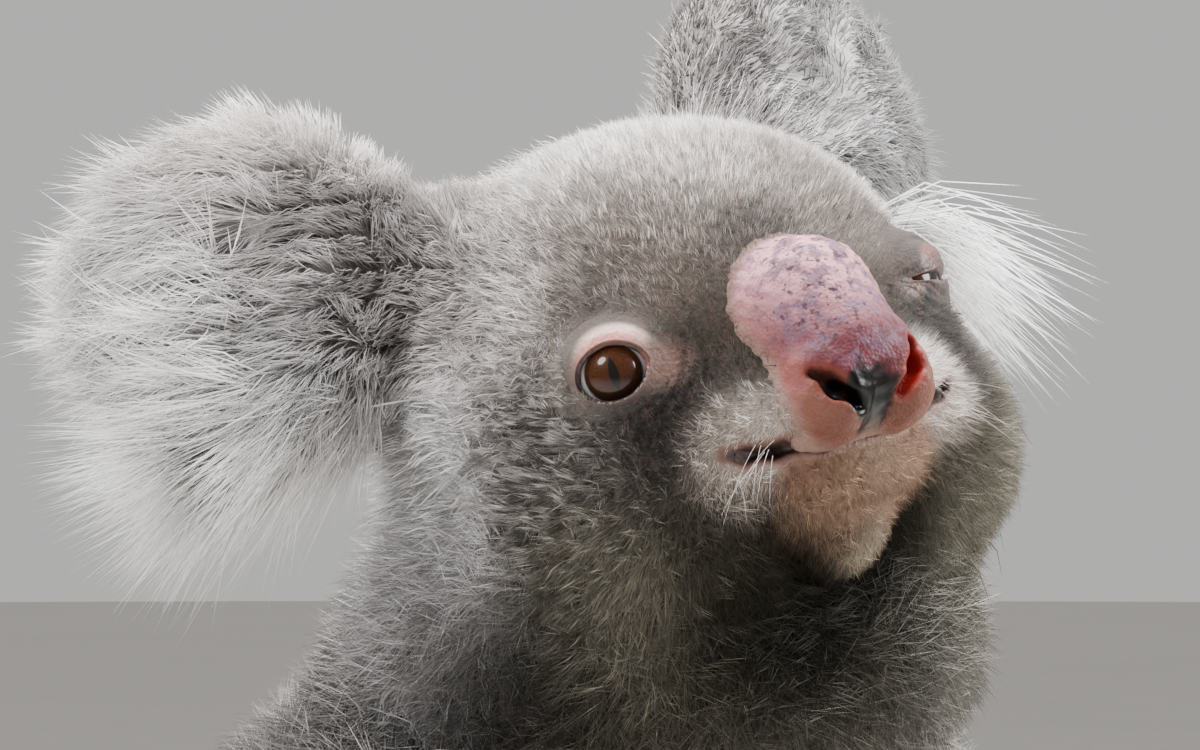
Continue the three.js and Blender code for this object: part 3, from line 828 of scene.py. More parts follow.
def tuft_mesh(name, roots, rng, segments, finish):
    """One coat piece, from roots with their normal, flow, length, width, lift, curl and colours."""
    p, n, flow = roots["p"], roots["n"], roots["flow"]
    size = len(p)
    length = roots["length"] * rng.uniform(0.72, 1.18, size)
    width = roots["width"] * rng.uniform(0.75, 1.2, size)
    curl = roots["curl"]
    twist = waves(p, roots["curl_size"], 31) * curl[:, None]
    lock = nearest_knot(p, roots["clump"], 9)
    swing = np.sin(lock @ LOCK_TURNS + [0.4, 2.6, 4.7])
    flow = tangent(flow + twist * 1.15 + swing * roots["toss"] + rng.normal(0, 0.12, (size, 3)), n)
    side = np.cross(flow, n)
    knot = nearest_knot(p + flow * 0.4 * length[:, None], roots["clump"], 7)
    pull = (knot - p) - n * ((knot - p) * n).sum(-1, keepdims=True)
    pull = pull - flow * np.maximum((pull * flow).sum(-1, keepdims=True), 0) * 0.5
    pull = pull * roots["gather"][:, None]
    bend = waves(p, roots["curl_size"] * 0.8, 32, 2)
    phase = rng.uniform(0, 6.283, size)
    height = roots["depth"] * rng.uniform(0.72, 1.06, size) * (1 + 0.2 * swing[:, 1])
    along = np.sqrt(np.maximum(length**2 - height**2, (0.3 * length) ** 2))
    centre, t_values = [], np.linspace(0, 1, segments + 1)
    for t in t_values:
        rise = height * (1 - (1 - t) ** 1.6) * (1 + 0.18 * bend[:, 0] * t)
        c = p - n * ROOT_DEPTH * (1 - t)
        c = c + flow * (along * t**1.2 * (1 - 0.15 * t * curl))[:, None] + n * rise[:, None]
        c = c + pull * t**1.4 + roots["droop"] * (length * t * t)[:, None]
        if segments > 1:
            c = c + side * (length * 0.24 * curl * np.sin(t * 3.6 + phase) * t)[:, None]
        centre.append(c)
    for c in centre:
        c[:, 2] = np.maximum(c[:, 2], FLOOR_GAP + ROOT_DEPTH)
    verts, tips = [], []
    for j, girth in enumerate([0.9] if segments == 1 else [1.0, 0.9]):
        way = unit(centre[j + 1] - centre[max(j - 1, 0)])
        across = unit(np.cross(way, n) + side * 1e-3)
        up = np.cross(across, way)
        w = width * girth * 0.5
        for angle in (90, 210, 330):
            a = math.radians(angle)
            sideways, outwards = w * math.cos(a), w * TUFT_FLATNESS * math.sin(a)
            verts.append(centre[j] + across * sideways[:, None] + up * outwards[:, None])
            tips.append(t_values[j])
    verts.append(centre[-1])
    tips.append(1.0)
    per = 3 * segments + 1
    points = np.stack(verts, 1)
    faces = [(0, 1, 2)]
    for j in range(segments - 1):
        for k in range(3):
            a, b = 3 * j + k, 3 * j + (k + 1) % 3
            faces += [(a, b + 3, b), (a, a + 3, b + 3)]
    last = 3 * (segments - 1)
    faces += [(last + k, 3 * segments, last + (k + 1) % 3) for k in range(3)]
    faces = np.array(faces)
    all_faces = (faces[None] + (np.arange(size) * per)[:, None, None]).reshape(-1, 3)
    points[..., 2] = np.maximum(points[..., 2], FLOOR_GAP)
    piece = mesh_object(name, points.reshape(-1, 3), all_faces, finish)
    mesh = piece.data
    t = np.array(tips)
    shade = roots["base"] + (1 - roots["base"]) * t if segments == 1 else np.clip(0.12 + 1.2 * t, 0, 1)
    shade = shade[None, :, None]
    patch = np.exp(roots["patchy"] * swing[:, 2]) * roots["bright"] ** roots["speckle"]
    colours = (roots["deep"][:, None] * (1 - shade) + roots["tip"][:, None] * shade) * patch[:, None, None]
    paint(mesh, "coat", colours.reshape(-1, 3))
    corner = np.stack([np.tile([-1.0, 1.0, 0.0], segments), 2 * t[:-1] - 1], -1)
    corner = np.concatenate([corner, [[0.0, 1.0]]]) * TUFT_PATCH
    uv = roots["uv"][:, None] + corner[None]
    layer = mesh.uv_layers.new(name="OFBake")
    flat = uv.reshape(-1, 2)[all_faces.ravel()]
    layer.data.foreach_set("uv", flat.astype(np.float32).ravel())
    own = points - np.stack(centre, 1)[:, np.minimum(np.arange(per) // 3, segments)]
    own[:, -1] = flow
    soft = unit(unit(own) + n[:, None] * roots["soft"])
    mesh.normals_split_custom_set_from_vertices(soft.reshape(-1, 3).astype(np.float32))
    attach(piece, "root")


# ---- Skin, roots and tufts -----------------------------------------------------------------------

SKIN = {}  # what the coat needs to know of the finished skin


SKIN_MARGIN = 4  # free space left round the skin in its grid, in mm


def skin_low_high():
    """The corners of the grid that the skin is drawn in, in mm."""
    low = np.array(CAD_BOX[0]) / MM - PLACE
    high = np.array(CAD_BOX[1]) / MM - PLACE
    return low - SKIN_MARGIN, high + SKIN_MARGIN


def refine(mesh, near):
    """Splits the skin's faces where `near` is true of their points, and settles those points."""
    with editing(mesh) as bm:
        bm.verts.ensure_lookup_table()
        close = near(points_of(mesh))
        edges = [e for e in bm.edges if close[e.verts[0].index] and close[e.verts[1].index]]
        bmesh.ops.subdivide_edges(bm, edges=edges, cuts=1, use_grid_fill=True)
    p = points_of(mesh)
    close = near(p)
    p[close] = settle(body, p[close], 2)
    set_points(mesh, p)


def triangulate(mesh):
    """Turns all faces into smooth-shaded triangles."""
    with editing(mesh) as bm:
        bmesh.ops.triangulate(bm, faces=bm.faces[:])
    mesh.polygons.foreach_set("use_smooth", np.ones(len(mesh.polygons), bool))


def face_front(p):
    """True for points on the front of the face."""
    q = to_head(p)
    return (np.linalg.norm((q - [0, -4, -12]) / [1, 0.8, 1], axis=-1) < 62) & (q[:, 1] < 22)


def face_centre(p):
    """True for points round the eyes and lips."""
    q = to_head(p)
    lips = np.linalg.norm((q - [0, -16, -32]) / [1.15, 1, 0.75], axis=-1) < 27
    eyes = [np.linalg.norm(q - eye_centre(s), axis=-1) < 21 for s in (-1, 1)]
    return lips | eyes[0] | eyes[1]


def bare_colour(p):
    """The colour of bare skin on the face."""
    q = to_head(p)
    chin = 1 - smooth(10, 26, np.linalg.norm(q - [0, -12, -46], axis=-1))
    out = mix(tone(130, 108, 98), tone(176, 142, 124), chin)
    out = mix(out, tone(96, 66, 56), 1 - smooth(1.0, 3.0, mouth(q)))
    out = mix(out, tone(22, 14, 12), 1 - smooth(-0.2, 1.2, mouth(q)))
    for side in (-1, 1):
        inner, up, ahead = eye_plane(p, side)
        near = (ahead > 0) * (1 - smooth(14, 19, np.hypot(inner, up)))
        r = np.hypot(inner, up)
        # Towards the outer corner the pale upper lid gives way to the dark tone: painted shade of the hair
        # over it.
        upper = smooth(1, 8, up) * (1 - 0.75 * smooth(-2, -8, inner))
        upper_tone = mix(tone(186, 118, 102), tone(244, 208, 195), smooth(7.2, 9.6, r))
        lid = mix(tone(84, 64, 56), upper_tone, upper)
        corner = 1 - smooth(0.5, 1.2, np.hypot((inner - 12.5) / 7.0, (up + 1.8) / 5.4))
        lid = mix(lid, tone(86, 60, 50), corner)
        if side > 0:
            lid = lid * (0.42 + 0.4 * smooth(-1, -4, up))[:, None]
        out = mix(out, lid, near)
    return out


def roots_on_skin(count, weight, seed):
    """Scatters roots over the skin: `weight` gives how densely, from arrays for the triangles."""
    rng = np.random.default_rng(seed)
    tri, middle = SKIN["tri"], SKIN["middle"]
    load = np.cumsum(SKIN["area"] * weight(middle, SKIN["shares"][tri[:, 0]]))
    if load[-1] <= 0:
        raise RuntimeError("no skin for these roots")
    pick = np.searchsorted(load, (np.arange(count) + rng.random(count)) / count * load[-1])
    pick = np.minimum(pick, len(tri) - 1)
    a, b = rng.random((2, count))
    fold = a + b > 1
    a[fold], b[fold] = 1 - a[fold], 1 - b[fold]
    w = np.stack([1 - a - b, a, b], -1)

    def at(values):
        return (values[tri[pick]] * w[:, :, None]).sum(1)

    shares = at(SKIN["shares"])
    roots = {"p": at(SKIN["p"]), "n": unit(at(SKIN["n"])), "shares": shares}
    roots["flow"] = tangent(at(SKIN["flow"]), roots["n"])
    tip, deep = at(SKIN["tip"]), at(SKIN["deep"])
    length, depth = (at(SKIN[key][:, None])[:, 0] for key in ("length", "depth"))
    roots["uv"] = unwrap(roots["p"], shares.argmax(-1))
    table = np.array([COAT[kind(name)][1:] for name in NAMES])
    _, width, lift, curl = (shares @ table).T
    bright = np.exp(0.26 * rng.normal(0, 1, count))
    for share, gain in ((0.14, 1.35), (0.14, 0.55)):  # some tufts are paler and some darker
        bright = bright * np.where(rng.random(count) < share, gain, 1)
    roots.update(tip=tip, deep=deep, bright=bright, width=width, curl=curl)
    roots.update(depth=depth * lift, length=np.maximum(length, depth * 1.15))
    roots.update(speckle=1.0, soft=0.4, gather=np.full(count, 0.35), droop=np.zeros((count, 3)))
    return roots, rng


# ---- Shaders -------------------------------------------------------------------------------------


class Tree:
    """Makes shader nodes and links in one tree."""

    def __init__(self, tree):
        self.tree = tree

    def node(self, kind_name, **inputs):
        """A new node, with its sockets and settings given by name."""
        made = self.tree.nodes.new(kind_name)
        for key, value in inputs.items():
            name = key.replace("_", " ")
            if name in made.inputs:
                self.feed(made.inputs[name], value)
            else:
                setattr(made, key, value)
        return made

    def feed(self, socket, value):
        """Links or sets a socket."""
        if isinstance(value, bpy.types.NodeSocket):
            self.tree.links.new(value, socket)
        elif socket.type == "RGBA" and len(value) == 3:
            socket.default_value = (*value, 1.0)
        else:
            socket.default_value = value

    def math(self, operation, *values):
        """One sum with one or two numbers."""
        made = self.tree.nodes.new("ShaderNodeMath")
        made.operation = operation
        for socket, value in zip(made.inputs, values):
            self.feed(socket, value)
        return made.outputs[0]

    def plus(self, a, b):
        return self.math("ADD", a, b)

    def minus(self, a, b):
        return self.math("SUBTRACT", a, b)

    def times(self, a, b):
        return self.math("MULTIPLY", a, b)

    def blend(self, share, a, b):
        """Colour a with a share of colour b over it."""
        made = self.tree.nodes.new("ShaderNodeMix")
        made.data_type = "RGBA"
        self.feed(made.inputs[0], share)
        self.feed(made.inputs[6], a)
        self.feed(made.inputs[7], b)
        return made.outputs[2]

    def ramp(self, value, low, high):
        """0 to 1 as the value goes from low to high, smoothly."""
        made = self.tree.nodes.new("ShaderNodeMapRange")
        made.interpolation_type = "SMOOTHSTEP"
        self.feed(made.inputs["Value"], value)
        made.inputs["From Min"].default_value = low
        made.inputs["From Max"].default_value = high
        return made.outputs["Result"]

    def noise(self, vector, scale, detail=3.0, roughness=0.55):
        made = self.tree.nodes.new("ShaderNodeTexNoise")
        self.feed(made.inputs["Vector"], vector)
        made.inputs["Scale"].default_value = scale
        made.inputs["Detail"].default_value = detail
        made.inputs["Roughness"].default_value = roughness
        return made.outputs["Fac"]

    def place(self):
        return self.tree.nodes.new("ShaderNodeTexCoord").outputs["Object"]

    def layer(self, name):
        made = self.tree.nodes.new("ShaderNodeAttribute")
        made.attribute_name = name
        return made

    def bump(self, height, strength, distance):
        made = self.tree.nodes.new("ShaderNodeBump")
        made.inputs["Strength"].default_value = strength
        made.inputs["Distance"].default_value = distance
        self.feed(made.inputs["Height"], height)
        return made.outputs["Normal"]


def group(name, inputs, outputs):
    """A node group with named sockets; gives its tree, what goes in and what comes out."""
    made = bpy.data.node_groups.new(name, "ShaderNodeTree")
    for label, socket, value in inputs:
        item = made.interface.new_socket(label, in_out="INPUT", socket_type=socket)
        item.default_value = value
    for label, socket in outputs:
        made.interface.new_socket(label, in_out="OUTPUT", socket_type=socket)
    tree = Tree(made)
    return tree, made.nodes.new("NodeGroupInput").outputs, made.nodes.new("NodeGroupOutput").inputs


def mottle_group():
    """Uneven colour in two sizes of blotch, with a height for fine relief."""
    known = bpy.data.node_groups.get("Mottle")
    if known:
        return known
    colour, number = "NodeSocketColor", "NodeSocketFloat"
    sockets = [("Colour", colour, (0.5, 0.5, 0.5, 1.0)), ("Dark", colour, (0.2, 0.2, 0.2, 1.0))]
    sockets += [("Broad", number, 60.0), ("Fine", number, 900.0), ("Amount", number, 0.3)]
    tree, given, out = group("Mottle", sockets, [("Colour", colour), ("Height", number)])
    at = tree.place()
    noises = []
    for label in ("Broad", "Fine"):
        made = tree.node("ShaderNodeTexNoise", Vector=at, Scale=given[label], Detail=3.0)
        noises.append(made.outputs["Fac"])
    both = tree.plus(tree.times(noises[0], 0.5), tree.times(noises[1], 0.5))
    share = tree.times(tree.ramp(both, 0.42, 0.62), given["Amount"])
    tree.feed(out["Colour"], tree.blend(share, given["Colour"], given["Dark"]))
    tree.feed(out["Height"], noises[1])
    return tree.tree


def material(name, **fixed):
    """A material with one Principled shader; `fixed` sets its plain sockets."""
    made = bpy.data.materials.new(name)
    made.use_nodes = True
    made.node_tree.nodes.clear()
    tree = Tree(made.node_tree)
    shader = made.node_tree.nodes.new("ShaderNodeBsdfPrincipled")
    out = made.node_tree.nodes.new("ShaderNodeOutputMaterial")
    made.node_tree.links.new(shader.outputs[0], out.inputs[0])
    for key, value in fixed.items():
        shader.inputs[key.replace("_", " ")].default_value = value
    return made, tree, shader


def add_mottle(tree, colour, dark, broad, fine, amount):
    """Puts the mottle group into a material; gives what comes out of it."""
    made = tree.tree.nodes.new("ShaderNodeGroup")
    made.node_tree = mottle_group()
    tree.feed(made.inputs["Colour"], colour)
    tree.feed(made.inputs["Dark"], dark)
    for label, value in (("Broad", broad), ("Fine", fine), ("Amount", amount)):
        made.inputs[label].default_value = value
    return made.outputs


def hair_material():
    """Matt hair, coloured by its own layer, lighter at the tips."""
    made, tree, shader = material("hair", Roughness=0.8, Specular_IOR_Level=0.1)
    tint = add_mottle(tree, tree.layer("coat").outputs["Color"], (0.06, 0.05, 0.045), 90.0, 700.0, 0.12)
    tree.feed(shader.inputs["Base Color"], tint["Colour"])
    return made


def fleshy(weight, radius):
    """Plain sockets for flesh that light shines into."""
    return {"Subsurface_Weight": weight, "Subsurface_Scale": 1.0, "Subsurface_Radius": radius}


def skin_material():
    """Dull dark skin under the hair, and soft skin with pores and fine creases where it is bare."""
    flesh = fleshy(0.12, (0.003, 0.0012, 0.0007))
    made, tree, shader = material("skin", Specular_IOR_Level=0.45, **flesh)
    tint = add_mottle(tree, tree.layer("coat").outputs["Color"], (0.11, 0.05, 0.04), 260.0, 1500.0, 0.30)
    tree.feed(shader.inputs["Base Color"], tint["Colour"])
    naked = tree.layer("bare").outputs["Fac"]
    tree.feed(shader.inputs["Roughness"], tree.minus(0.8, tree.times(naked, 0.33)))
    cells = tree.node("ShaderNodeTexVoronoi", Vector=tree.place(), Scale=1100.0).outputs["Distance"]
    height = tree.plus(tree.times(tint["Height"], 0.6), tree.times(cells, 0.6))
    tree.feed(shader.inputs["Normal"], tree.bump(height, 0.55, 0.0005))
    return made


def nose_material():
    """Leathery pink with blue-grey mottles above and a wet dark tip."""
    flesh = fleshy(0.18, (0.004, 0.0015, 0.001))
    made, tree, shader = material("nose skin", Specular_IOR_Level=0.14, **flesh)
    at = tree.place()
    warped = tree.node("ShaderNodeVectorMath", operation="ADD")
    tree.feed(warped.inputs[0], at)
    spread = tree.node("ShaderNodeTexNoise", Vector=at, Scale=180.0).outputs["Color"]
    shift = tree.node("ShaderNodeVectorMath", operation="SCALE")
    tree.feed(shift.inputs[0], spread)
    shift.inputs["Scale"].default_value = 0.0025
    tree.feed(warped.inputs[1], shift.outputs[0])
    broad = tree.noise(warped.outputs[0], 230.0, 4.0, 0.6)
    small = tree.noise(warped.outputs[0], 620.0, 3.0, 0.6)
    mask = tree.layer("mottle").outputs["Fac"]
    patches = tree.times(tree.ramp(broad, 0.46, 0.58), mask)
    spots = tree.times(tree.ramp(small, 0.54, 0.64), mask)
    base = tree.layer("coat").outputs["Color"]
    tinted = tree.blend(tree.times(patches, 0.85), base, tuple(tone(100, 76, 92)))
    tinted = tree.blend(tree.times(spots, 0.85), tinted, tuple(tone(54, 34, 45)))
    tree.feed(shader.inputs["Base Color"], tinted)
    wet = tree.layer("wet").outputs["Fac"]
    tree.feed(shader.inputs["Roughness"], tree.minus(0.52, tree.times(wet, 0.20)))
    grain = tree.node("ShaderNodeTexVoronoi", Vector=at, Scale=1250.0).outputs["Distance"]
    height = tree.plus(grain, tree.times(tree.noise(at, 2200.0), 0.5))
    height = tree.times(height, tree.minus(1.0, tree.times(wet, 0.85)))
    tree.feed(shader.inputs["Normal"], tree.bump(height, 0.5, 0.0004))
    return made


PUPIL_HEIGHT = 0.38  # half the height of the slit pupil, in cm


def eye_material(settings):
    """A brown iris with fibres, an upright slit pupil, a pale ring and a wet surface."""
    wet = {"Coat_Weight": 0.4, "Coat_Roughness": 0.02}
    made, tree, shader = material("eye", Roughness=0.3, Specular_IOR_Level=0.08, **wet)
    uv = tree.node("ShaderNodeUVMap", uv_map="EyeMap").outputs["UV"]
    split = tree.node("ShaderNodeSeparateXYZ", Vector=uv).outputs
    u = tree.minus(split["X"], 0.5)
    v = tree.minus(split["Y"], 0.5)
    r = tree.math("SQRT", tree.plus(tree.times(u, u), tree.times(v, v)))
    angle = tree.math("ARCTAN2", v, u)
    ray = tree.node("ShaderNodeCombineXYZ")
    tree.feed(ray.inputs[0], tree.times(tree.math("COSINE", angle), 5.0))
    tree.feed(ray.inputs[1], tree.times(tree.math("SINE", angle), 5.0))
    tree.feed(ray.inputs[2], tree.times(r, 7.0))
    fibre = tree.noise(ray.outputs[0], 3.6, 5.0, 0.65)
    iris = tree.blend(tree.ramp(fibre, 0.36, 0.66), tuple(settings.iris_dark), tuple(settings.iris_light))
    shade = tree.ramp(v, 0.30, -0.42)
    iris = tree.blend(tree.times(shade, 0.72), iris, (0.012, 0.005, 0.003))
    iris = tree.blend(tree.times(tree.ramp(r, 0.42, 0.60), 0.85), iris, (0.016, 0.007, 0.004))
    ring = tree.blend(tree.ramp(r, 0.585, 0.64), iris, tuple(settings.white))
    ring = tree.blend(tree.times(tree.ramp(r, 0.76, 0.88), 0.9), ring, (0.05, 0.03, 0.025))
    lean = tree.plus(u, tree.times(v, -0.10))
    level = tree.math("ABSOLUTE", tree.math("DIVIDE", tree.plus(v, 0.02), PUPIL_HEIGHT))
    half = tree.minus(1.0, tree.math("POWER", level, 1.7))
    half = tree.math("MAXIMUM", tree.times(half, settings.pupil_width), 0.0001)
    slit = tree.math("DIVIDE", tree.math("ABSOLUTE", lean), half)
    pupil = tree.ramp(slit, 1.25, 0.85)
    tree.feed(shader.inputs["Base Color"], tree.blend(pupil, ring, (0.003, 0.002, 0.002)))
    return made


def claw_material():
    """Dark horn, mottled with paler worn blotches."""
    made, tree, shader = material("claw horn", Roughness=0.32, Specular_IOR_Level=0.5)
    tint = add_mottle(tree, (0.022, 0.018, 0.016), (0.10, 0.085, 0.07), 300.0, 2400.0, 0.5)
    tree.feed(shader.inputs["Base Color"], tint["Colour"])
    tree.feed(shader.inputs["Normal"], tree.bump(tint["Height"], 0.3, 0.0003))
    return made


# ---- Tapered strands along paths, for claws and whiskers -----------------------------------------


def strand_tree(finish):
    """Geometry nodes that give every path a round body whose radius is the path's own girth."""
    tree = bpy.data.node_groups.new("Tapered strands " + finish.name, "GeometryNodeTree")
    tree.interface.new_socket("Geometry", in_out="INPUT", socket_type="NodeSocketGeometry")
    thick = tree.interface.new_socket("Thickness", in_out="INPUT", socket_type="NodeSocketFloat")
    thick.default_value = 1.0
    sides = tree.interface.new_socket("Sides", in_out="INPUT", socket_type="NodeSocketInt")
    sides.default_value = 8
    tree.interface.new_socket("Geometry", in_out="OUTPUT", socket_type="NodeSocketGeometry")
    kinds = {
        "in": "NodeGroupInput",
        "path": "GeometryNodeMeshToCurve",
        "girth": "GeometryNodeInputNamedAttribute",
        "scaled": "ShaderNodeMath",
        "radius": "GeometryNodeSetCurveRadius",
        "ring": "GeometryNodeCurvePrimitiveCircle",
        "body": "GeometryNodeCurveToMesh",
        "smooth": "GeometryNodeSetShadeSmooth",
        "real": "GeometryNodeRealizeInstances",
        "finish": "GeometryNodeSetMaterial",
        "out": "NodeGroupOutput",
    }
    made = {name: tree.nodes.new(node_kind) for name, node_kind in kinds.items()}
    made["girth"].data_type = "FLOAT"
    made["girth"].inputs["Name"].default_value = "girth"
    made["scaled"].operation = "MULTIPLY"
    made["ring"].inputs["Radius"].default_value = 1.0
    made["body"].inputs["Fill Caps"].default_value = True
    made["finish"].inputs["Material"].default_value = finish
    for a, b in [
        (made["in"].outputs["Geometry"], made["path"].inputs[0]),
        (made["path"].outputs[0], made["radius"].inputs["Curve"]),
        (made["girth"].outputs["Attribute"], made["scaled"].inputs[0]),
        (made["in"].outputs["Thickness"], made["scaled"].inputs[1]),
        (made["scaled"].outputs[0], made["radius"].inputs["Radius"]),
        (made["scaled"].outputs[0], made["body"].inputs["Scale"]),
        (made["in"].outputs["Sides"], made["ring"].inputs["Resolution"]),
        (made["radius"].outputs[0], made["body"].inputs["Curve"]),
        (made["ring"].outputs["Curve"], made["body"].inputs["Profile Curve"]),
        (made["body"].outputs[0], made["smooth"].inputs[0]),
        (made["smooth"].outputs[0], made["real"].inputs[0]),
        (made["real"].outputs[0], made["finish"].inputs["Geometry"]),
        (made["finish"].outputs[0], made["out"].inputs[0]),
    ]:
        tree.links.new(a, b)
    return tree, thick.identifier, sides.identifier


def strands(name, paths, girths, finish, thickness, sides):
    """One piece of tapered strands, from the points and the radii of each one's path, in mm."""
    mesh = bpy.data.meshes.new(name + " paths")
    points = np.concatenate(paths)
    starts = np.cumsum([0] + [len(path) for path in paths])
    edges = [(i, i + 1) for a, b in zip(starts, starts[1:]) for i in range(a, b - 1)]
    mesh.from_pydata(((points + PLACE) * MM).tolist(), edges, [])
    layer = mesh.attributes.new("girth", "FLOAT", "POINT")
    layer.data.foreach_set("value", (np.concatenate(girths) * MM).astype(np.float32))
    carrier = bpy.data.objects.new(name + " paths", mesh)
    bpy.context.scene.collection.objects.link(carrier)
    tree, thick_key, sides_key = strand_tree(finish)
    modifier = carrier.modifiers.new("strands", "NODES")
    modifier.node_group = tree
    modifier[thick_key] = thickness
    modifier[sides_key] = sides
    bpy.context.view_layer.update()
    evaluated = carrier.evaluated_get(bpy.context.evaluated_depsgraph_get())
    solid = bpy.data.meshes.new_from_object(evaluated)
    solid.name = name
    bpy.data.objects.remove(carrier)
    piece = bpy.data.objects.new(name, solid)
    bpy.context.scene.collection.objects.link(piece)
    with editing(solid) as bm:
        bmesh.ops.remove_doubles(bm, verts=bm.verts[:], dist=1e-6)
        bmesh.ops.recalc_face_normals(bm, faces=bm.faces[:])
    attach(piece, "root")
    return piece


def arc(a, b, c, steps):
    """Points on the curve from a towards b to c."""
    t = np.linspace(0, 1, steps)[:, None]
    a, b, c = (np.array(v, float) for v in (a, b, c))
    return a * (1 - t) ** 2 + b * 2 * t * (1 - t) + c * t**2


# ---- Settings ------------------------------------------------------------------------------------


class KoalaSkinSettings(bpy.types.PropertyGroup):
    step: FloatProperty(
        name="Skin mesh", description="Size of the skin's faces", default=0.0032, min=0.002, unit="LENGTH"
    )
    levels: IntProperty(
        name="Face detail", description="Times the face is refined", default=2, min=0, max=3
    )
    lid_roll: FloatProperty(
        name="Lid roll", description="How far the upper lid swells", default=0.0011, min=0.0, unit="LENGTH"
    )


class KoalaEyeSettings(bpy.types.PropertyGroup):
    iris_light: FloatVectorProperty(
        name="Iris",
        description="Lit colour of the iris",
        default=(0.060, 0.016, 0.0025),
        size=3,
        subtype="COLOR",
    )
    iris_dark: FloatVectorProperty(
        name="Iris shade",
        description="Dark colour of the iris",
        default=(0.018, 0.005, 0.001),
        size=3,
        subtype="COLOR",
    )
    white: FloatVectorProperty(
        name="Ring",
        description="Colour of the ring round the iris",
        default=(0.30, 0.31, 0.31),
        size=3,
        subtype="COLOR",
    )
    pupil_width: FloatProperty(
        name="Pupil", description="Half width of the slit pupil, in cm", default=0.10, min=0.01
    )


class KoalaNoseSettings(bpy.types.PropertyGroup):
    step: FloatProperty(
        name="Nose mesh", description="Size of the nose's faces", default=0.0006, min=0.0004, unit="LENGTH"
    )
    pink: FloatVectorProperty(
        name="Pink",
        description="Colour of the nose's upper part",
        default=(0.53, 0.26, 0.295),
        size=3,
        subtype="COLOR",
    )
    # Wine-red of the nose's lower part, darkened with painted shade.
    wine_and_shade: FloatVectorProperty(
        name="Wine",
        description="Colour of the nose's lower part",
        default=(0.078, 0.015, 0.021),
        size=3,
        subtype="COLOR",
    )


class KoalaCoatSettings(bpy.types.PropertyGroup):
    density: FloatProperty(name="Density", description="Share of all tufts", default=1.0, min=0.05, max=1.0)
    length: FloatProperty(
        name="Length", description="Hair length against the natural one", default=1.0, min=0.2
    )
    curl: FloatProperty(name="Curl", description="Curl against the natural one", default=1.0, min=0.0)


class KoalaStrandSettings(bpy.types.PropertyGroup):
    claw: FloatProperty(
        name="Claw thickness", description="Against the natural one", default=1.0, min=0.2
    )
    whisker: FloatProperty(
        name="Whisker thickness", description="Against the natural one", default=1.0, min=0.2
    )


class KoalaStageSettings(bpy.types.PropertyGroup):
    floor: FloatVectorProperty(
        name="Floor",
        description="Colour of the floor",
        default=(0.62, 0.59, 0.56),
        size=3,
        subtype="COLOR",
    )
    light: FloatProperty(name="Light", description="Strength of the studio light", default=1.0, min=0.0)


# ---- Pieces --------------------------------------------------------------------------------------


class KOALA_OT_skin(bpy.types.Operator):
    """Builds the one skin of the whole animal and measures it for the coat"""

    bl_idname = "koala.skin"
    bl_label = "Skin"

    def execute(self, context):
        settings = context.scene.koala_skin
        low, high = skin_low_high()
        points, faces = surface(body, low, high, settings.step / MM)
        points = settle(body, points, 2)
        piece = mesh_object("skin", points, faces, skin_material())
        mesh = piece.data
        for near in [face_front, face_centre, face_centre][: settings.levels]:
            refine(mesh, near)
        triangulate(mesh)
        p = points_of(mesh)
        p[:, 2] = np.maximum(p[:, 2], FLOOR_GAP)
        set_points(mesh, p)
        shares = part_shares(p)
        normals = listed(mesh.vertices, "normal", 3).astype(float)
        tip, deep, length = coat_look(p, shares)
        naked = bare(p)
        under = mix(deep * 0.9, bare_colour(p), naked)
        paint(mesh, "coat", under)
        store(mesh, "bare", naked)
        tri = listed(mesh.polygons, "vertices", 3, np.int32)
        a, b, c = (p[tri[:, i]] for i in range(3))
        SKIN.update(p=p, n=normals, tri=tri, shares=shares, tip=tip, deep=deep, length=length)
        SKIN.update(flow=flow_field(p, normals, shares), middle=(a + b + c) / 3)
        depth = np.clip(-uncut_body(p, 1), 0.3, 30.0)
        face = shares[:, NAMES.index("head")] + shares[:, NAMES.index("jaw")]
        SKIN["depth"] = np.minimum(depth, 0.8 * length + 30.0 * (1 - face))
        SKIN["area"] = np.linalg.norm(np.cross(b - a, c - a), axis=-1) / 2 * (1 - bare(SKIN["middle"]))
        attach(piece, "root")
        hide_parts(*NAMES)
        return {"FINISHED"}


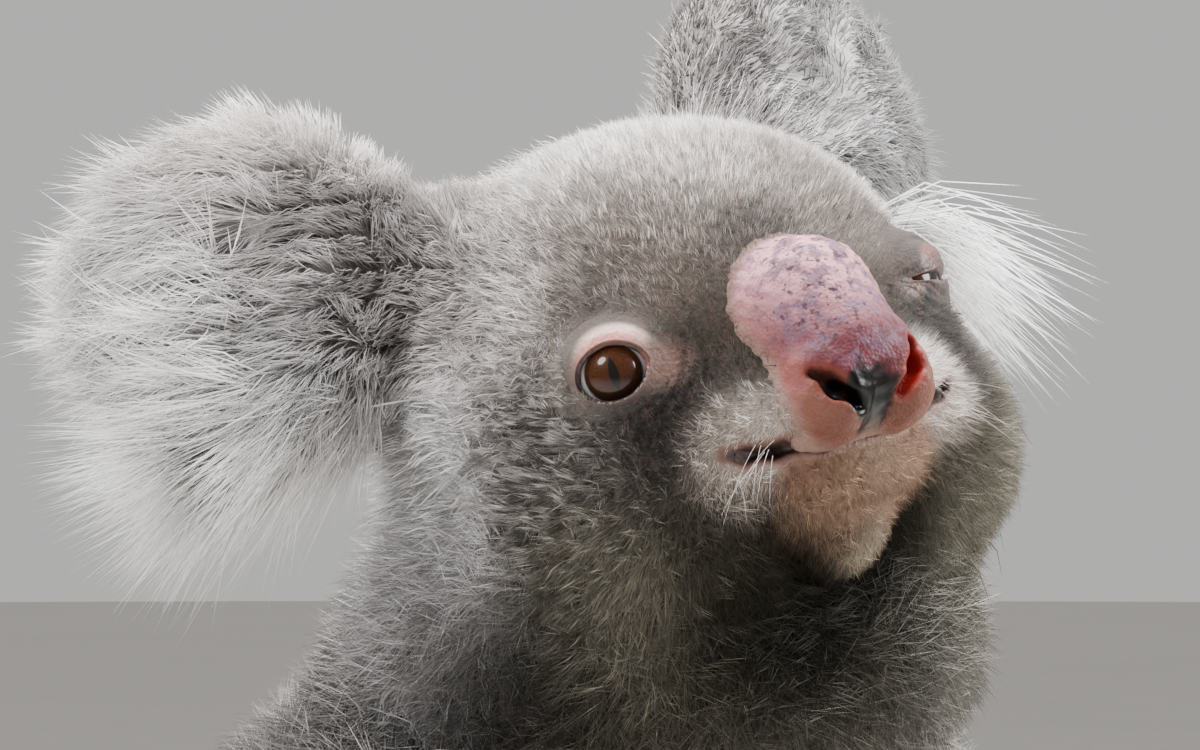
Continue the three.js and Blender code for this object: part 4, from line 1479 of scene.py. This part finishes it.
def lid_patch(side, roll, name, finish):
    """The lids of one eye: from under the rim, over the lid's roll and folds, out onto the face."""
    inner, up, gaze = eye_axes(side)
    face_way = unit(np.array([side * 0.59, -0.73, 0.35]))
    axis = unit(0.62 * gaze + 0.38 * face_way)
    ex = tangent(inner, axis)
    ey = tangent(up, axis)
    around, rows = 144, 44
    theta = np.arange(around) * 2 * math.pi / around
    closed = side > 0
    wide, tall_up, tall_down = (56.0, 8.0, 3.5) if closed else (47.0, 36.0, 34.0)
    cos, sin = np.cos(theta), np.sin(theta)
    tall = np.where(sin > 0, tall_up, tall_down)
    wide = np.where(cos > 0, wide + (10.0 if closed else 0.0), wide)
    corner = np.where(cos > 0, 1.75, 2.1)
    half = (np.abs(cos / wide) ** corner + np.abs(sin / tall) ** corner) ** (-1 / corner)
    tilt = 0.22 if closed else 0.0

    def on_eye(angle, radius):
        a = np.radians(angle)[:, None]
        way = inner * cos[:, None] + (up + inner * tilt) * sin[:, None]
        shift = -up * 0.12 if closed else 0.0
        return unit(gaze * np.cos(a) + unit(way) * np.sin(a) + shift) * radius

    rim = [(3.0, -0.9), (0.6, -0.25), (-0.3, 0.25), (0.6, 0.68), (2.4, 0.95)]
    grid = [on_eye(half + da, EYE_RADIUS + dr) for da, dr in rim]
    edge = grid[-1]
    start = np.stack([edge @ ex, edge @ ey], -1)
    reach = 17.0 + 3.0 * np.clip(cos, 0, 1)
    end = np.stack([cos * reach + 1.5, sin * reach * 0.92], -1)
    eye = eye_centre(side)
    for k in range(1, rows + 1):
        t = (k / rows) ** 1.25
        xy = start * (1 - t) + end * t
        flat = xy[:, :1] * ex + xy[:, 1:] * ey
        h = np.full(around, 22.0)
        for _ in range(26):
            h = h - 0.85 * np.clip(uncut_body(from_head(flat + axis * h[:, None] + eye)), -3, 6)
        s = np.hypot(xy[:, 0], xy[:, 1])
        away = np.linalg.norm(xy - start, axis=-1)
        upper = smooth(-0.35, 0.45, sin)
        thick = 0.95 + 0.25 * smooth(0, 2, away) + roll * (0.2 + 0.8 * upper) * smooth(0.3, 3.2, away)
        ball_r = EYE_RADIUS + thick
        dome = np.sqrt(np.maximum(ball_r**2 - s**2, 0.0)) - 2.5 * smooth(ball_r * 0.93, ball_r * 1.12, s)
        raised = -blend(-dome, -h, 4.5)
        crease = np.exp(-(((away - 7.6 - 0.8 * np.sin(theta * 2)) / 1.0) ** 2)) * (0.55 * upper + 0.15)
        crease += np.exp(-(((away - 10.8) / 1.1) ** 2)) * 0.25 * upper
        fold = 0.10 * np.sin(away * 2.6 + 1.5 * np.sin(theta * 3))
        fold = fold * smooth(1.5, 4, away) * smooth(14, 9, away)
        if closed:
            fold = fold * 1.5
            crease = crease + 0.5 * np.exp(-(((away - 3.0) / 0.6) ** 2))
        join = smooth(0.72, 0.97, t)
        height = raised * (1 - join) + h * join + (fold - crease) * (1 - join)
        height = height + 0.16 * (1 - join) - 0.55 * smooth(0.9, 1.0, t)
        grid.append(flat + axis * height[:, None])
    points = from_head(np.concatenate(grid) + eye)
    count = len(grid)
    piece = mesh_object(name, points, round_faces(count, around, closed), finish)
    mesh = piece.data
    outwards = listed(mesh.vertices, "normal", 3)[around * 8 : around * 30] @ (HEAD_TURN @ axis)
    if outwards.mean() < 0:
        raise RuntimeError(f"{name} faces inwards")
    p = points_of(mesh)
    shares = part_shares(p)
    _, deep, _ = coat_look(p, shares)
    naked = bare(p)
    colour = mix(deep * 0.9, bare_colour(p), naked)
    # The rows at the lid margin are dark: the margin's own dark rim, with painted shade where it tucks
    # against the eyeball.
    row = np.repeat(np.arange(count), around)
    dark = 1 - smooth(3.4, 7.0 if closed else 5.8, row)
    corner_tone = tone(70, 44, 40) if closed else tone(128, 80, 74)
    corner_share = smooth(0.93, 0.99, np.tile(cos, count)) * 0.9
    colour = mix(colour, mix(tone(44, 30, 26), corner_tone, corner_share), dark * 0.92)
    if closed:
        away = np.linalg.norm(to_head(p) - eye, axis=-1)
        pinkish = (1 - smooth(9.8, 12.5, away)) * (1 - dark)
        colour = mix(colour, tone(124, 82, 74), pinkish * 0.6)
    paint(mesh, "coat", colour)
    store(mesh, "bare", np.maximum(naked, dark * 1.4))
    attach(piece, "root")


def eyeball(side, finish):
    """One eyeball, with a map of its front for the iris."""
    inner, up, gaze = eye_axes(side)
    around, rows = 96, 56
    angle = np.radians(np.concatenate([np.linspace(0.6, 72, rows - 12), np.linspace(80, 179.4, 12)]))
    theta = np.arange(around) * 2 * math.pi / around
    a, t = np.meshgrid(angle, theta, indexing="ij")
    radius = EYE_RADIUS - 0.15 + 0.75 * np.exp(-((np.degrees(a) / 34.0) ** 4))
    lateral = np.sin(a) * radius
    way = inner * np.cos(t)[..., None] + up * np.sin(t)[..., None]
    q = gaze * (np.cos(a) * radius)[..., None] + way * lateral[..., None] + eye_centre(side)
    points = from_head(q.reshape(-1, 3))
    side_name = "left" if side > 0 else "right"
    faces = round_faces(rows, around, side > 0)
    piece = mesh_object(f"eye_{side_name}_ball", points, faces, finish)
    spread = lateral / (10 if side < 0 else 19)  # the left iris fills what the half-shut lids show
    uv = np.stack([0.5 + np.cos(t) * spread, 0.5 + np.sin(t) * spread], -1).reshape(-1, 2)
    back = np.repeat(angle > math.radians(88), around)
    uv[back] = 0.5 + unit(uv[back] - 0.5) * 0.98
    mesh = piece.data
    order = listed(mesh.loops, "vertex_index", 1, np.int32)[:, 0]
    layer = mesh.uv_layers.new(name="EyeMap")
    layer.data.foreach_set("uv", uv[order].astype(np.float32).ravel())
    with editing(mesh) as bm:
        bmesh.ops.holes_fill(bm, edges=[e for e in bm.edges if e.is_boundary], sides=around + 1)
        bmesh.ops.recalc_face_normals(bm, faces=bm.faces[:])
    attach(piece, "root")
    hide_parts(f"eye_{side_name}")


class KOALA_OT_eyes(bpy.types.Operator):
    """Builds both eyeballs and the lids round them"""

    bl_idname = "koala.eyes"
    bl_label = "Eyes and lids"

    def execute(self, context):
        ball_finish = eye_material(context.scene.koala_eye)
        lid_finish = bpy.data.materials["skin"]
        for side_name, side in SIDES.items():
            eyeball(side, ball_finish)
            lid_patch(side, context.scene.koala_skin.lid_roll / MM, f"lids_{side_name}", lid_finish)
        return {"FINISHED"}


def nose_tints(q, settings):
    """The nose's colour, share of mottles and wetness, at points in the head's frame."""
    # Pink above to wine below: the lower part is wine-red flesh, darkened further with painted shade.
    top = smooth(-10, 12, q[:, 2] - q[:, 1] * 0.15 - 3)
    colour = mix(np.array(settings.wine_and_shade), np.array(settings.pink), top)
    side = smooth(9, 16, np.abs(q[:, 0]))
    colour = mix(colour, tone(158, 100, 92), side * 0.5)
    from_lobe = np.abs(q * [1, 0, 0]) + q * [0, 1, 1] - [10.5, -29, -25]
    lobe = 1 - smooth(7, 12, np.linalg.norm(from_lobe, axis=-1))
    colour = mix(colour, tone(95, 62, 50), lobe * 0.85)
    foot = smooth(0.4, 2.6, nose_field(q))
    lip = 1 - smooth(-31, -27.5, q[:, 2])
    colour = mix(colour, tone(112, 78, 58), lip * 0.6)
    inside = 1 - smooth(0.5, 2.6, nostrils(q) + 0.7)
    red = np.where(q[:, :1] > 0, tone(122, 40, 36), tone(104, 48, 36))
    colour = mix(colour, red, inside * 0.8)
    # Deep in the nostrils: the right one is painted nearly black as shade in its recess; the left one shows
    # its red flesh.
    deep = smooth(0.4, 2.6, nose_field(q) * -1)
    colour = mix(colour, np.where(q[:, :1] > 0, tone(120, 22, 18), tone(34, 14, 9)), deep)
    climb = np.clip(q[:, 2] + 29, 0, 15)
    across = (q[:, 0] + 0.9 + 0.22 * climb) / (2.9 + 0.52 * climb)
    blob = np.hypot(across, (q[:, 2] + 24.5) / 10.4) + 0.16 * waves(q, 5.0, 41, 1)[:, 0]
    cleft = (1 - smooth(1.2, 2.4, np.abs(q[:, 0] - 0.9))) * smooth(-21, -25, q[:, 2])
    black = np.maximum(1 - smooth(0.75, 1.2, blob), cleft) * smooth(-18, -24, q[:, 1])
    colour = mix(colour, tone(2, 2, 2), black)
    colour = mix(colour, tone(128, 104, 94), foot * 0.9)
    middle = 1 - smooth(11, 18, np.hypot(q[:, 0] - 2, (q[:, 2] - 1) * 0.75))
    upper = (1 - foot) * smooth(-19, -9, q[:, 2]) * middle
    return colour, np.clip(upper * (1 - 0.4 * side), 0, 1), np.maximum(black, inside * 0.5)


class KOALA_OT_nose(bpy.types.Operator):
    """Builds the bare nose with its nostrils"""

    bl_idname = "koala.nose"
    bl_label = "Nose"

    def execute(self, context):
        settings = context.scene.koala_nose
        low, high = np.array([-24.0, -42.0, -38.0]), np.array([24.0, 22.0, 27.0])
        points, faces = surface(nose_pad, low, high, settings.step / MM)
        points = settle(nose_pad, points, 2, 0.5)
        piece = mesh_object("nose_pad", from_head(points), faces, nose_material())
        mesh = piece.data
        colour, mottled, wet = nose_tints(to_head(points_of(mesh)), settings)
        paint(mesh, "coat", colour)
        store(mesh, "mottle", mottled)
        store(mesh, "wet", wet)
        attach(piece, "root")
        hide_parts("nose")
        return {"FINISHED"}


def region(names, shares):
    """How much of each place belongs to parts of these kinds."""
    return sum(shares[:, i] for i, name in enumerate(NAMES) if kind(name) in names)


TUFTS = {
    # piece: (count, segments, slot, seed)
    "coat_forehead": (48500, 1, "coat", 101),
    "coat_muzzle": (34000, 1, "coat", 102),
    "coat_cheek_right": (48000, 1, "coat", 103),
    "coat_cheek_left": (22000, 1, "coat", 104),
    "coat_nape": (18000, 1, "coat", 105),
    "coat_ear_right": (19000, 2, "pale_coat", 116),
    "coat_ear_left": (14000, 2, "pale_coat", 107),
    "coat_neck": (32000, 1, "coat", 111),
    "coat_chest": (28000, 1, "coat", 108),
    "coat_back": (28000, 1, "coat", 109),
    "coat_limbs": (34000, 1, "coat", 110),
}


def head_region(name):
    """How densely each head piece's roots lie, from places and part shares."""

    def weight(p, shares):
        q = to_head(p)
        own = region(("head", "jaw"), shares)
        upper = smooth(-2, 12, q[:, 2] - 0.25 * np.abs(q[:, 0]) + 8)
        behind = smooth(64, 78, q[:, 1])
        front = 1 - smooth(6, 20, q[:, 1] + 0.3 * np.abs(q[:, 0]) + 0.35 * q[:, 2])
        ruff = region(("neck",), shares)
        if name == "coat_forehead":
            return own * upper * (1 - behind) * (1 - 0.85 * front * smooth(20, 5, q[:, 2])) + 1e-9
        if name == "coat_muzzle":
            return own * front * smooth(24, 8, q[:, 2])
        if name == "coat_nape":
            return (own * behind + ruff * smooth(20, 60, q[:, 1])) * 0.6
        side = -1 if name.endswith("right") else 1
        lateral = smooth(-2, 6, q[:, 0] * side)
        low = np.clip(own * (1 - upper) * (1 - behind) * (1 - 0.75 * front), 0, 1)
        return lateral * (low + 0.25 * ruff * (1 - smooth(20, 60, q[:, 1])))

    return weight


def ear_region(side):
    """How densely an ear's roots lie."""

    def weight(p, shares):
        e = to_ear(p, side)
        own = shares[:, NAMES.index("ear_right" if side < 0 else "ear_left")]
        fringe = (0.9 if side < 0 else 6.0) * smooth(-4, -22, e[:, 2])
        return own * (1 + 1.5 * smooth(8, 24, np.hypot(e[:, 0], e[:, 2])) + fringe)

    return weight


def body_region(name):
    """How densely each body piece's roots lie."""

    def weight(p, shares):
        limbs = region(("upper_arm", "forearm", "thigh", "shank"), shares)
        limbs = limbs + 2.2 * region(("hand", "foot"), shares)
        trunk = region(("chest", "abdomen"), shares) + 0.5 * region(("neck",), shares)
        front = smooth(20, -10, p[:, 1])
        sight = 0.35 + 1.2 * smooth(180, 250, p[:, 2])
        high = smooth(278, 300, p[:, 2])
        if name == "coat_neck":
            own = limbs + trunk + 0.5 * region(("neck",), shares)
            return own * high * (1 + 2 * smooth(40, -10, p @ [0.5, 0.866, 0]))
        limbs, trunk = limbs * (1 - 0.8 * high), trunk * (1 - 0.8 * high)
        if name == "coat_limbs":
            return limbs * (1 + 1.0 * smooth(150, 230, p[:, 2]))
        return trunk * sight * (front if name == "coat_chest" else 1 - front)

    return weight


def build_tufts(context, name, weight, adjust):
    """Grows one coat piece: `weight` places its roots, `adjust` gives them their kind of hair."""
    count, segments, slot, seed = TUFTS[name]
    settings = context.scene.koala_coat
    roots, rng = roots_on_skin(int(count * settings.density), weight, seed)
    adjust(roots)
    roots["length"] = roots["length"] * settings.length
    roots["curl"] = roots["curl"] * settings.curl
    finish = bpy.data.materials.get("hair") or hair_material()
    tuft_mesh(name, roots, rng, segments, finish)


class KOALA_OT_head_coat(bpy.types.Operator):
    """Grows the short hair of the face and the wool of the cheeks and nape"""

    bl_idname = "koala.head_coat"
    bl_label = "Head coat"

    def execute(self, context):
        def trim(roots, longest):
            roots["length"] = np.minimum(roots["length"], longest)
            roots["depth"] = np.minimum(roots["depth"], 0.9 * longest)
            q = to_head(roots["p"])
            for side in (-1, 1):
                out = q - eye_centre(side)
                far = np.maximum(np.linalg.norm(out, axis=-1, keepdims=True), 1e-6)
                lift = np.maximum(11.2 - far, 0.0) * (out[:, 1:2] < 4)
                roots["p"] = roots["p"] + unit(out) @ HEAD_TURN.T * lift

        def short(roots):
            trim(roots, 6.0)
            roots["width"] = 0.14 + 0.022 * roots["length"]
            roots["clump"], roots["curl_size"], roots["base"] = 1.4, 4.0, 0.28
            roots["toss"], roots["patchy"], roots["speckle"] = 0.7, 0.42, 1.3

        def velvet(roots):
            short(roots)
            roots["toss"], roots["patchy"], roots["speckle"], roots["base"] = 0.4, 0.18, 0.7, 0.66
            roots["width"] = roots["width"] * 0.85
            roots["depth"] = roots["depth"] * 0.85
            roots["gather"] = np.clip(roots["length"] / 12.0, 0.1, 0.45)
            roots["curl"] = 0.10 + 0.45 * smooth(4, 9, roots["length"])

        def woolly(roots):
            trim(roots, 14.0)
            near_ear = np.clip(2 * region(("ear",), roots["shares"]), 0, 1)
            trimmed = np.minimum(roots["length"], 7.0)
            roots["length"] = roots["length"] * (1 - near_ear) + trimmed * near_ear
            roots["depth"] = np.minimum(roots["depth"], 0.9 * roots["length"])
            roots["width"] = 0.22 + 0.024 * roots["length"]
            roots["clump"], roots["curl_size"], roots["base"] = 1.9, 4.0, 0.24
            roots["toss"], roots["patchy"] = 1.15, 0.5
            roots["gather"] = np.full(len(roots["p"]), 0.5)
            roots["curl"] = np.full(len(roots["p"]), 0.8)

        finer = {"coat_forehead": short, "coat_muzzle": velvet}
        for name in ("coat_forehead", "coat_muzzle", "coat_cheek_right", "coat_cheek_left", "coat_nape"):
            build_tufts(context, name, head_region(name), finer.get(name, woolly))
        return {"FINISHED"}


class KOALA_OT_ear_coat(bpy.types.Operator):
    """Grows the long silky hair of the ears"""

    bl_idname = "koala.ear_coat"
    bl_label = "Ear coat"

    def execute(self, context):
        for side_name, side in SIDES.items():

            def silky(roots, side=side):
                e = to_ear(roots["p"], side)
                low = smooth(0, -24, e[:, 2])
                opening = ear_to_world(np.array([[0.0, -1.0, 0.0]]), side)[0]
                inner = (roots["n"] @ opening > 0.2).astype(float)
                roots["width"] = np.full(len(e), 0.40) + (0.16 * low if side > 0 else 0.0)
                roots["clump"], roots["curl_size"] = 7.0, 16.0
                roots["depth"] = np.minimum(roots["depth"], 14.0 - 4.0 * inner) + 2.0
                roots["toss"], roots["patchy"], roots["speckle"] = 0.3, 0.2, 0.45
                # The left ear is trimmer and greyer above.
                high = smooth(-28, -18, e[:, 2] + 0.25 * e[:, 0]) * (side > 0)
                roots["depth"] = roots["depth"] * (1 - 0.68 * high)
                notch = np.exp(-(((e[:, 2] + 14) / 8) ** 2)) * smooth(0, 20, e[:, 0]) * (side < 0)
                roots["length"] = roots["length"] * (1 + 0.62 * (side > 0) - 1.27 * high - 0.45 * notch)
                outer = low * smooth(-8, 12, e[:, 0]) * (side < 0)
                roots["depth"] = roots["depth"] * (1 - 0.35 * outer)
                roots["length"] = np.maximum(roots["length"], 4.0 + 2.0 * (side < 0))
                roots["tip"] = roots["tip"] * (1 - 0.64 * high)[:, None]
                roots["deep"] = roots["deep"] * (1 - 0.78 * high)[:, None]
                roots["curl"] = 0.42 + 0.4 * high
                roots["gather"] = 0.6 - 0.5 * high
                roots["soft"] = 0.1
                fall = 0.10 if side < 0 else 0.62
                roots["droop"] = np.stack([0 * low, 0 * low, -0.05 - fall * low], -1)

            build_tufts(context, f"coat_ear_{side_name}", ear_region(side), silky)
        return {"FINISHED"}


class KOALA_OT_body_coat(bpy.types.Operator):
    """Grows the wool of the trunk and limbs"""

    bl_idname = "koala.body_coat"
    bl_label = "Body coat"

    def execute(self, context):
        def wool(roots):
            roots["clump"], roots["curl_size"], roots["base"] = 5.0, 8.0, 0.24
            roots["toss"], roots["patchy"], roots["speckle"] = 0.5, 0.3, 0.45
            roots["gather"] = np.full(len(roots["p"]), 0.45)
            roots["width"] = roots["width"] * 1.75
            roots["curl"] = np.full(len(roots["p"]), 0.55)

        def ruff(roots):
            wool(roots)
            roots["patchy"], roots["speckle"] = 0.4, 1.0
            roots["gather"] = np.full(len(roots["p"]), 0.6)
            roots["curl"] = np.full(len(roots["p"]), 0.85)
            roots["depth"] = roots["depth"] * 0.85
            roots["width"] = 0.26 + 0.022 * roots["length"]
            roots["clump"], roots["curl_size"], roots["base"] = 2.6, 5.0, 0.24
            roots["toss"] = 1.1

        build_tufts(context, "coat_neck", body_region("coat_neck"), ruff)
        for name in ("coat_chest", "coat_back", "coat_limbs"):
            build_tufts(context, name, body_region(name), wool)
        return {"FINISHED"}


CLAW_STEPS = 12  # points along each claw


class KOALA_OT_claws(bpy.types.Operator):
    """Builds the claws of the hands and feet"""

    bl_idname = "koala.claws"
    bl_label = "Claws"

    def execute(self, context):
        finish = claw_material()
        thickness = context.scene.koala_strand.claw
        for side in SIDES:
            for limb_name, hand in (("hand", True), ("foot", False)):
                paths, girths = [], []
                for root, way, reach, _, clawed in digit_paths(side, hand):
                    if not clawed:
                        continue
                    start = root + way * (reach - 6) + [0, 0, 9.0]
                    arch = root + way * (reach + 9) + [0, 0, 11.0]
                    tip = root + way * (reach + 16.5) + [0, 0, 1.0]
                    paths.append(arc(start, arch, tip, CLAW_STEPS))
                    girths.append(3.0 * (1 - np.linspace(0, 1, CLAW_STEPS)) ** 0.6 + 0.25)
                name = f"claws_{limb_name}_{side}"
                piece = strands(name, paths, girths, finish, thickness, 10)
                if len(piece.data.polygons) == 0:
                    raise RuntimeError("no claws were made")
        return {"FINISHED"}


def whisker_material(name, colour, worn):
    """Glossy hair of a slightly uneven colour."""
    made, tree, shader = material(name, Roughness=0.35)
    tint = add_mottle(tree, colour, worn, 90.0, 700.0, 0.4)
    tree.feed(shader.inputs["Base Color"], tint["Colour"])
    return made


def sagging(root, way, reach, sag):
    """The path of a whisker, bent by the sag at its tip."""
    return from_head(arc(root, root + way * reach * 0.5, root + way * reach + sag, 9))


class KOALA_OT_whiskers(bpy.types.Operator):
    """Builds the whiskers at the mouth and the long hairs over the eyes"""

    bl_idname = "koala.whiskers"
    bl_label = "Whiskers"

    def execute(self, context):
        pale = whisker_material("pale whisker", (0.8, 0.76, 0.7), (0.5, 0.45, 0.4))
        dark = whisker_material("dark whisker", (0.05, 0.035, 0.03), (0.12, 0.1, 0.09))
        rng = np.random.default_rng(61)
        mouth_paths, brow_paths = [], []
        for s in (-1, 1):
            for k in range(7):
                root = np.array([s * (26 - 1.2 * k % 5), -18.5 - 0.5 * k, -27.5 + rng.uniform(-2, 4)])
                out, ahead, down = rng.uniform(0.5, 1.0), rng.uniform(-0.5, 0.1), rng.uniform(-0.9, -0.1)
                way = unit(np.array([s * out, ahead, down]))
                reach = rng.uniform(9, 20)
                sag = np.array([0, 0, -reach * 0.22])
                mouth_paths.append(sagging(root, way, reach, sag))
            for k in range(4):
                root = np.array([s * (33 + 3 * k), -1.5 + 0.8 * k, 12.0 + rng.uniform(-1, 2)])
                way = unit(np.array([s * rng.uniform(-0.2, 0.6), -0.8, rng.uniform(0.4, 0.9)]))
                reach = rng.uniform(14, 24) if s > 0 else rng.uniform(7, 11)
                sag = np.array([s * reach * 0.3, reach * 0.1, -reach * 0.25])
                brow_paths.append(sagging(root, way, reach, sag))
        for name, paths, finish, girth in (
            ("whiskers_mouth", mouth_paths, pale, 0.045),
            ("whiskers_brow", brow_paths, dark, 0.06),
        ):
            girths = [girth * np.linspace(1, 0.15, len(path)) for path in paths]
            strands(name, paths, girths, finish, context.scene.koala_strand.whisker, 5)
        return {"FINISHED"}


FLOOR_RADIUS = 9.0  # in m, as are the sizes of the view
VIEW_WIDTH = 0.25  # how much the camera takes in at the face
AIM_LEFT, AIM_LOW = 0.0347917, 0.011875  # from the face to the middle of the view


class KOALA_OT_stage(bpy.types.Operator):
    """Sets the plain pale floor, the soft studio light and the camera"""

    bl_idname = "koala.stage"
    bl_label = "Stage"

    def execute(self, context):
        settings = context.scene.koala_stage
        scene = context.scene
        mesh = bpy.data.meshes.new("floor")
        with editing(mesh) as bm:
            bmesh.ops.create_circle(bm, cap_ends=True, segments=96, radius=FLOOR_RADIUS)
        ground = bpy.data.objects.new("floor", mesh)
        scene.collection.objects.link(ground)
        finish, tree, shader = material("floor", Roughness=0.7)
        worn = tuple(c * 0.9 for c in settings.floor)
        tint = add_mottle(tree, tuple(settings.floor), worn, 3.0, 40.0, 0.3)
        tree.feed(shader.inputs["Base Color"], tint["Colour"])
        mesh.materials.append(finish)
        world = bpy.data.worlds.new("studio")
        world.use_nodes = True
        world.node_tree.nodes["Background"].inputs["Color"].default_value = (0.80, 0.79, 0.78, 1)
        world.node_tree.nodes["Background"].inputs["Strength"].default_value = 0.7 * settings.light
        scene.world = world
        turn = math.radians(-30)
        right = np.array([math.cos(turn), math.sin(turn), 0.0])
        back = np.array([math.sin(turn), -math.cos(turn), 0.0])
        rise = np.array([0.0, 0.0, 1.0])
        face = np.array([-0.003, -0.018, 0.398])
        lamps = {
            "key": (face + back * 0.8 - right * 0.8 + rise * 0.85, 0.6, 29.0),
            "right rim": (face + right * 1.1 + rise * 0.45, 0.7, 42.0),
            "left rim": (face - back * 0.6 - right * 1.0 + rise * 0.7, 0.8, 36.0),
            "top": (face + rise * 1.3 - back * 0.3, 1.2, 72.0),
        }
        for name, (at, size, watts) in lamps.items():
            data = bpy.data.lights.new(name, "AREA")
            data.shape = "DISK"
            data.size = size
            data.energy = watts * settings.light
            lamp = bpy.data.objects.new(name, data)
            lamp.location = at
            aim = unit(face - at)
            lamp.rotation_euler = (math.acos(-aim[2]), 0.0, math.atan2(aim[1], aim[0]) - math.pi / 2)
            scene.collection.objects.link(lamp)
        data = bpy.data.cameras.new("camera")
        data.lens = 180.0
        data.sensor_width = 36.0
        data.clip_start = 0.02
        target = face - right * AIM_LEFT - rise * AIM_LOW
        camera = bpy.data.objects.new("camera", data)
        camera.location = target + back * (VIEW_WIDTH * data.lens / data.sensor_width)
        camera.rotation_euler = (math.pi / 2, 0.0, turn)
        scene.collection.objects.link(camera)
        scene.camera = camera
        return {"FINISHED"}


# ---- Sidebar and running -------------------------------------------------------------------------

SETTINGS = {
    "koala_skin": KoalaSkinSettings,
    "koala_eye": KoalaEyeSettings,
    "koala_nose": KoalaNoseSettings,
    "koala_coat": KoalaCoatSettings,
    "koala_strand": KoalaStrandSettings,
    "koala_stage": KoalaStageSettings,
}
OPERATORS = [
    KOALA_OT_skin,
    KOALA_OT_eyes,
    KOALA_OT_nose,
    KOALA_OT_head_coat,
    KOALA_OT_ear_coat,
    KOALA_OT_body_coat,
    KOALA_OT_claws,
    KOALA_OT_whiskers,
    KOALA_OT_stage,
]


class KOALA_PT_panel(bpy.types.Panel):
    """Sizes, colours and buttons of the koala model"""

    bl_idname = "KOALA_PT_panel"
    bl_label = "Koala"
    bl_space_type = "VIEW_3D"
    bl_region_type = "UI"
    bl_category = "Koala"

    def draw(self, context):
        for name, settings in SETTINGS.items():
            box = self.layout.box()
            for key in settings.__annotations__:
                box.prop(getattr(context.scene, name), key)
        for operator in OPERATORS:
            self.layout.operator(operator.bl_idname)


def register():
    """Adds the settings, operators and panel."""
    for made in [*SETTINGS.values(), *OPERATORS, KOALA_PT_panel]:
        bpy.utils.register_class(made)
    for name, settings in SETTINGS.items():
        setattr(bpy.types.Scene, name, PointerProperty(type=settings))


def unregister():
    """Takes them away again."""
    for name in SETTINGS:
        delattr(bpy.types.Scene, name)
    for made in [KOALA_PT_panel, *reversed(OPERATORS), *SETTINGS.values()]:
        bpy.utils.unregister_class(made)


def main():
    """Builds the whole model."""
    register()
    bpy.ops.koala.skin()
    bpy.ops.koala.eyes()
    bpy.ops.koala.nose()
    bpy.ops.koala.head_coat()
    bpy.ops.koala.ear_coat()
    bpy.ops.koala.body_coat()
    bpy.ops.koala.claws()
    bpy.ops.koala.whiskers()
    bpy.ops.koala.stage()


if __name__ == "__main__":
    main()
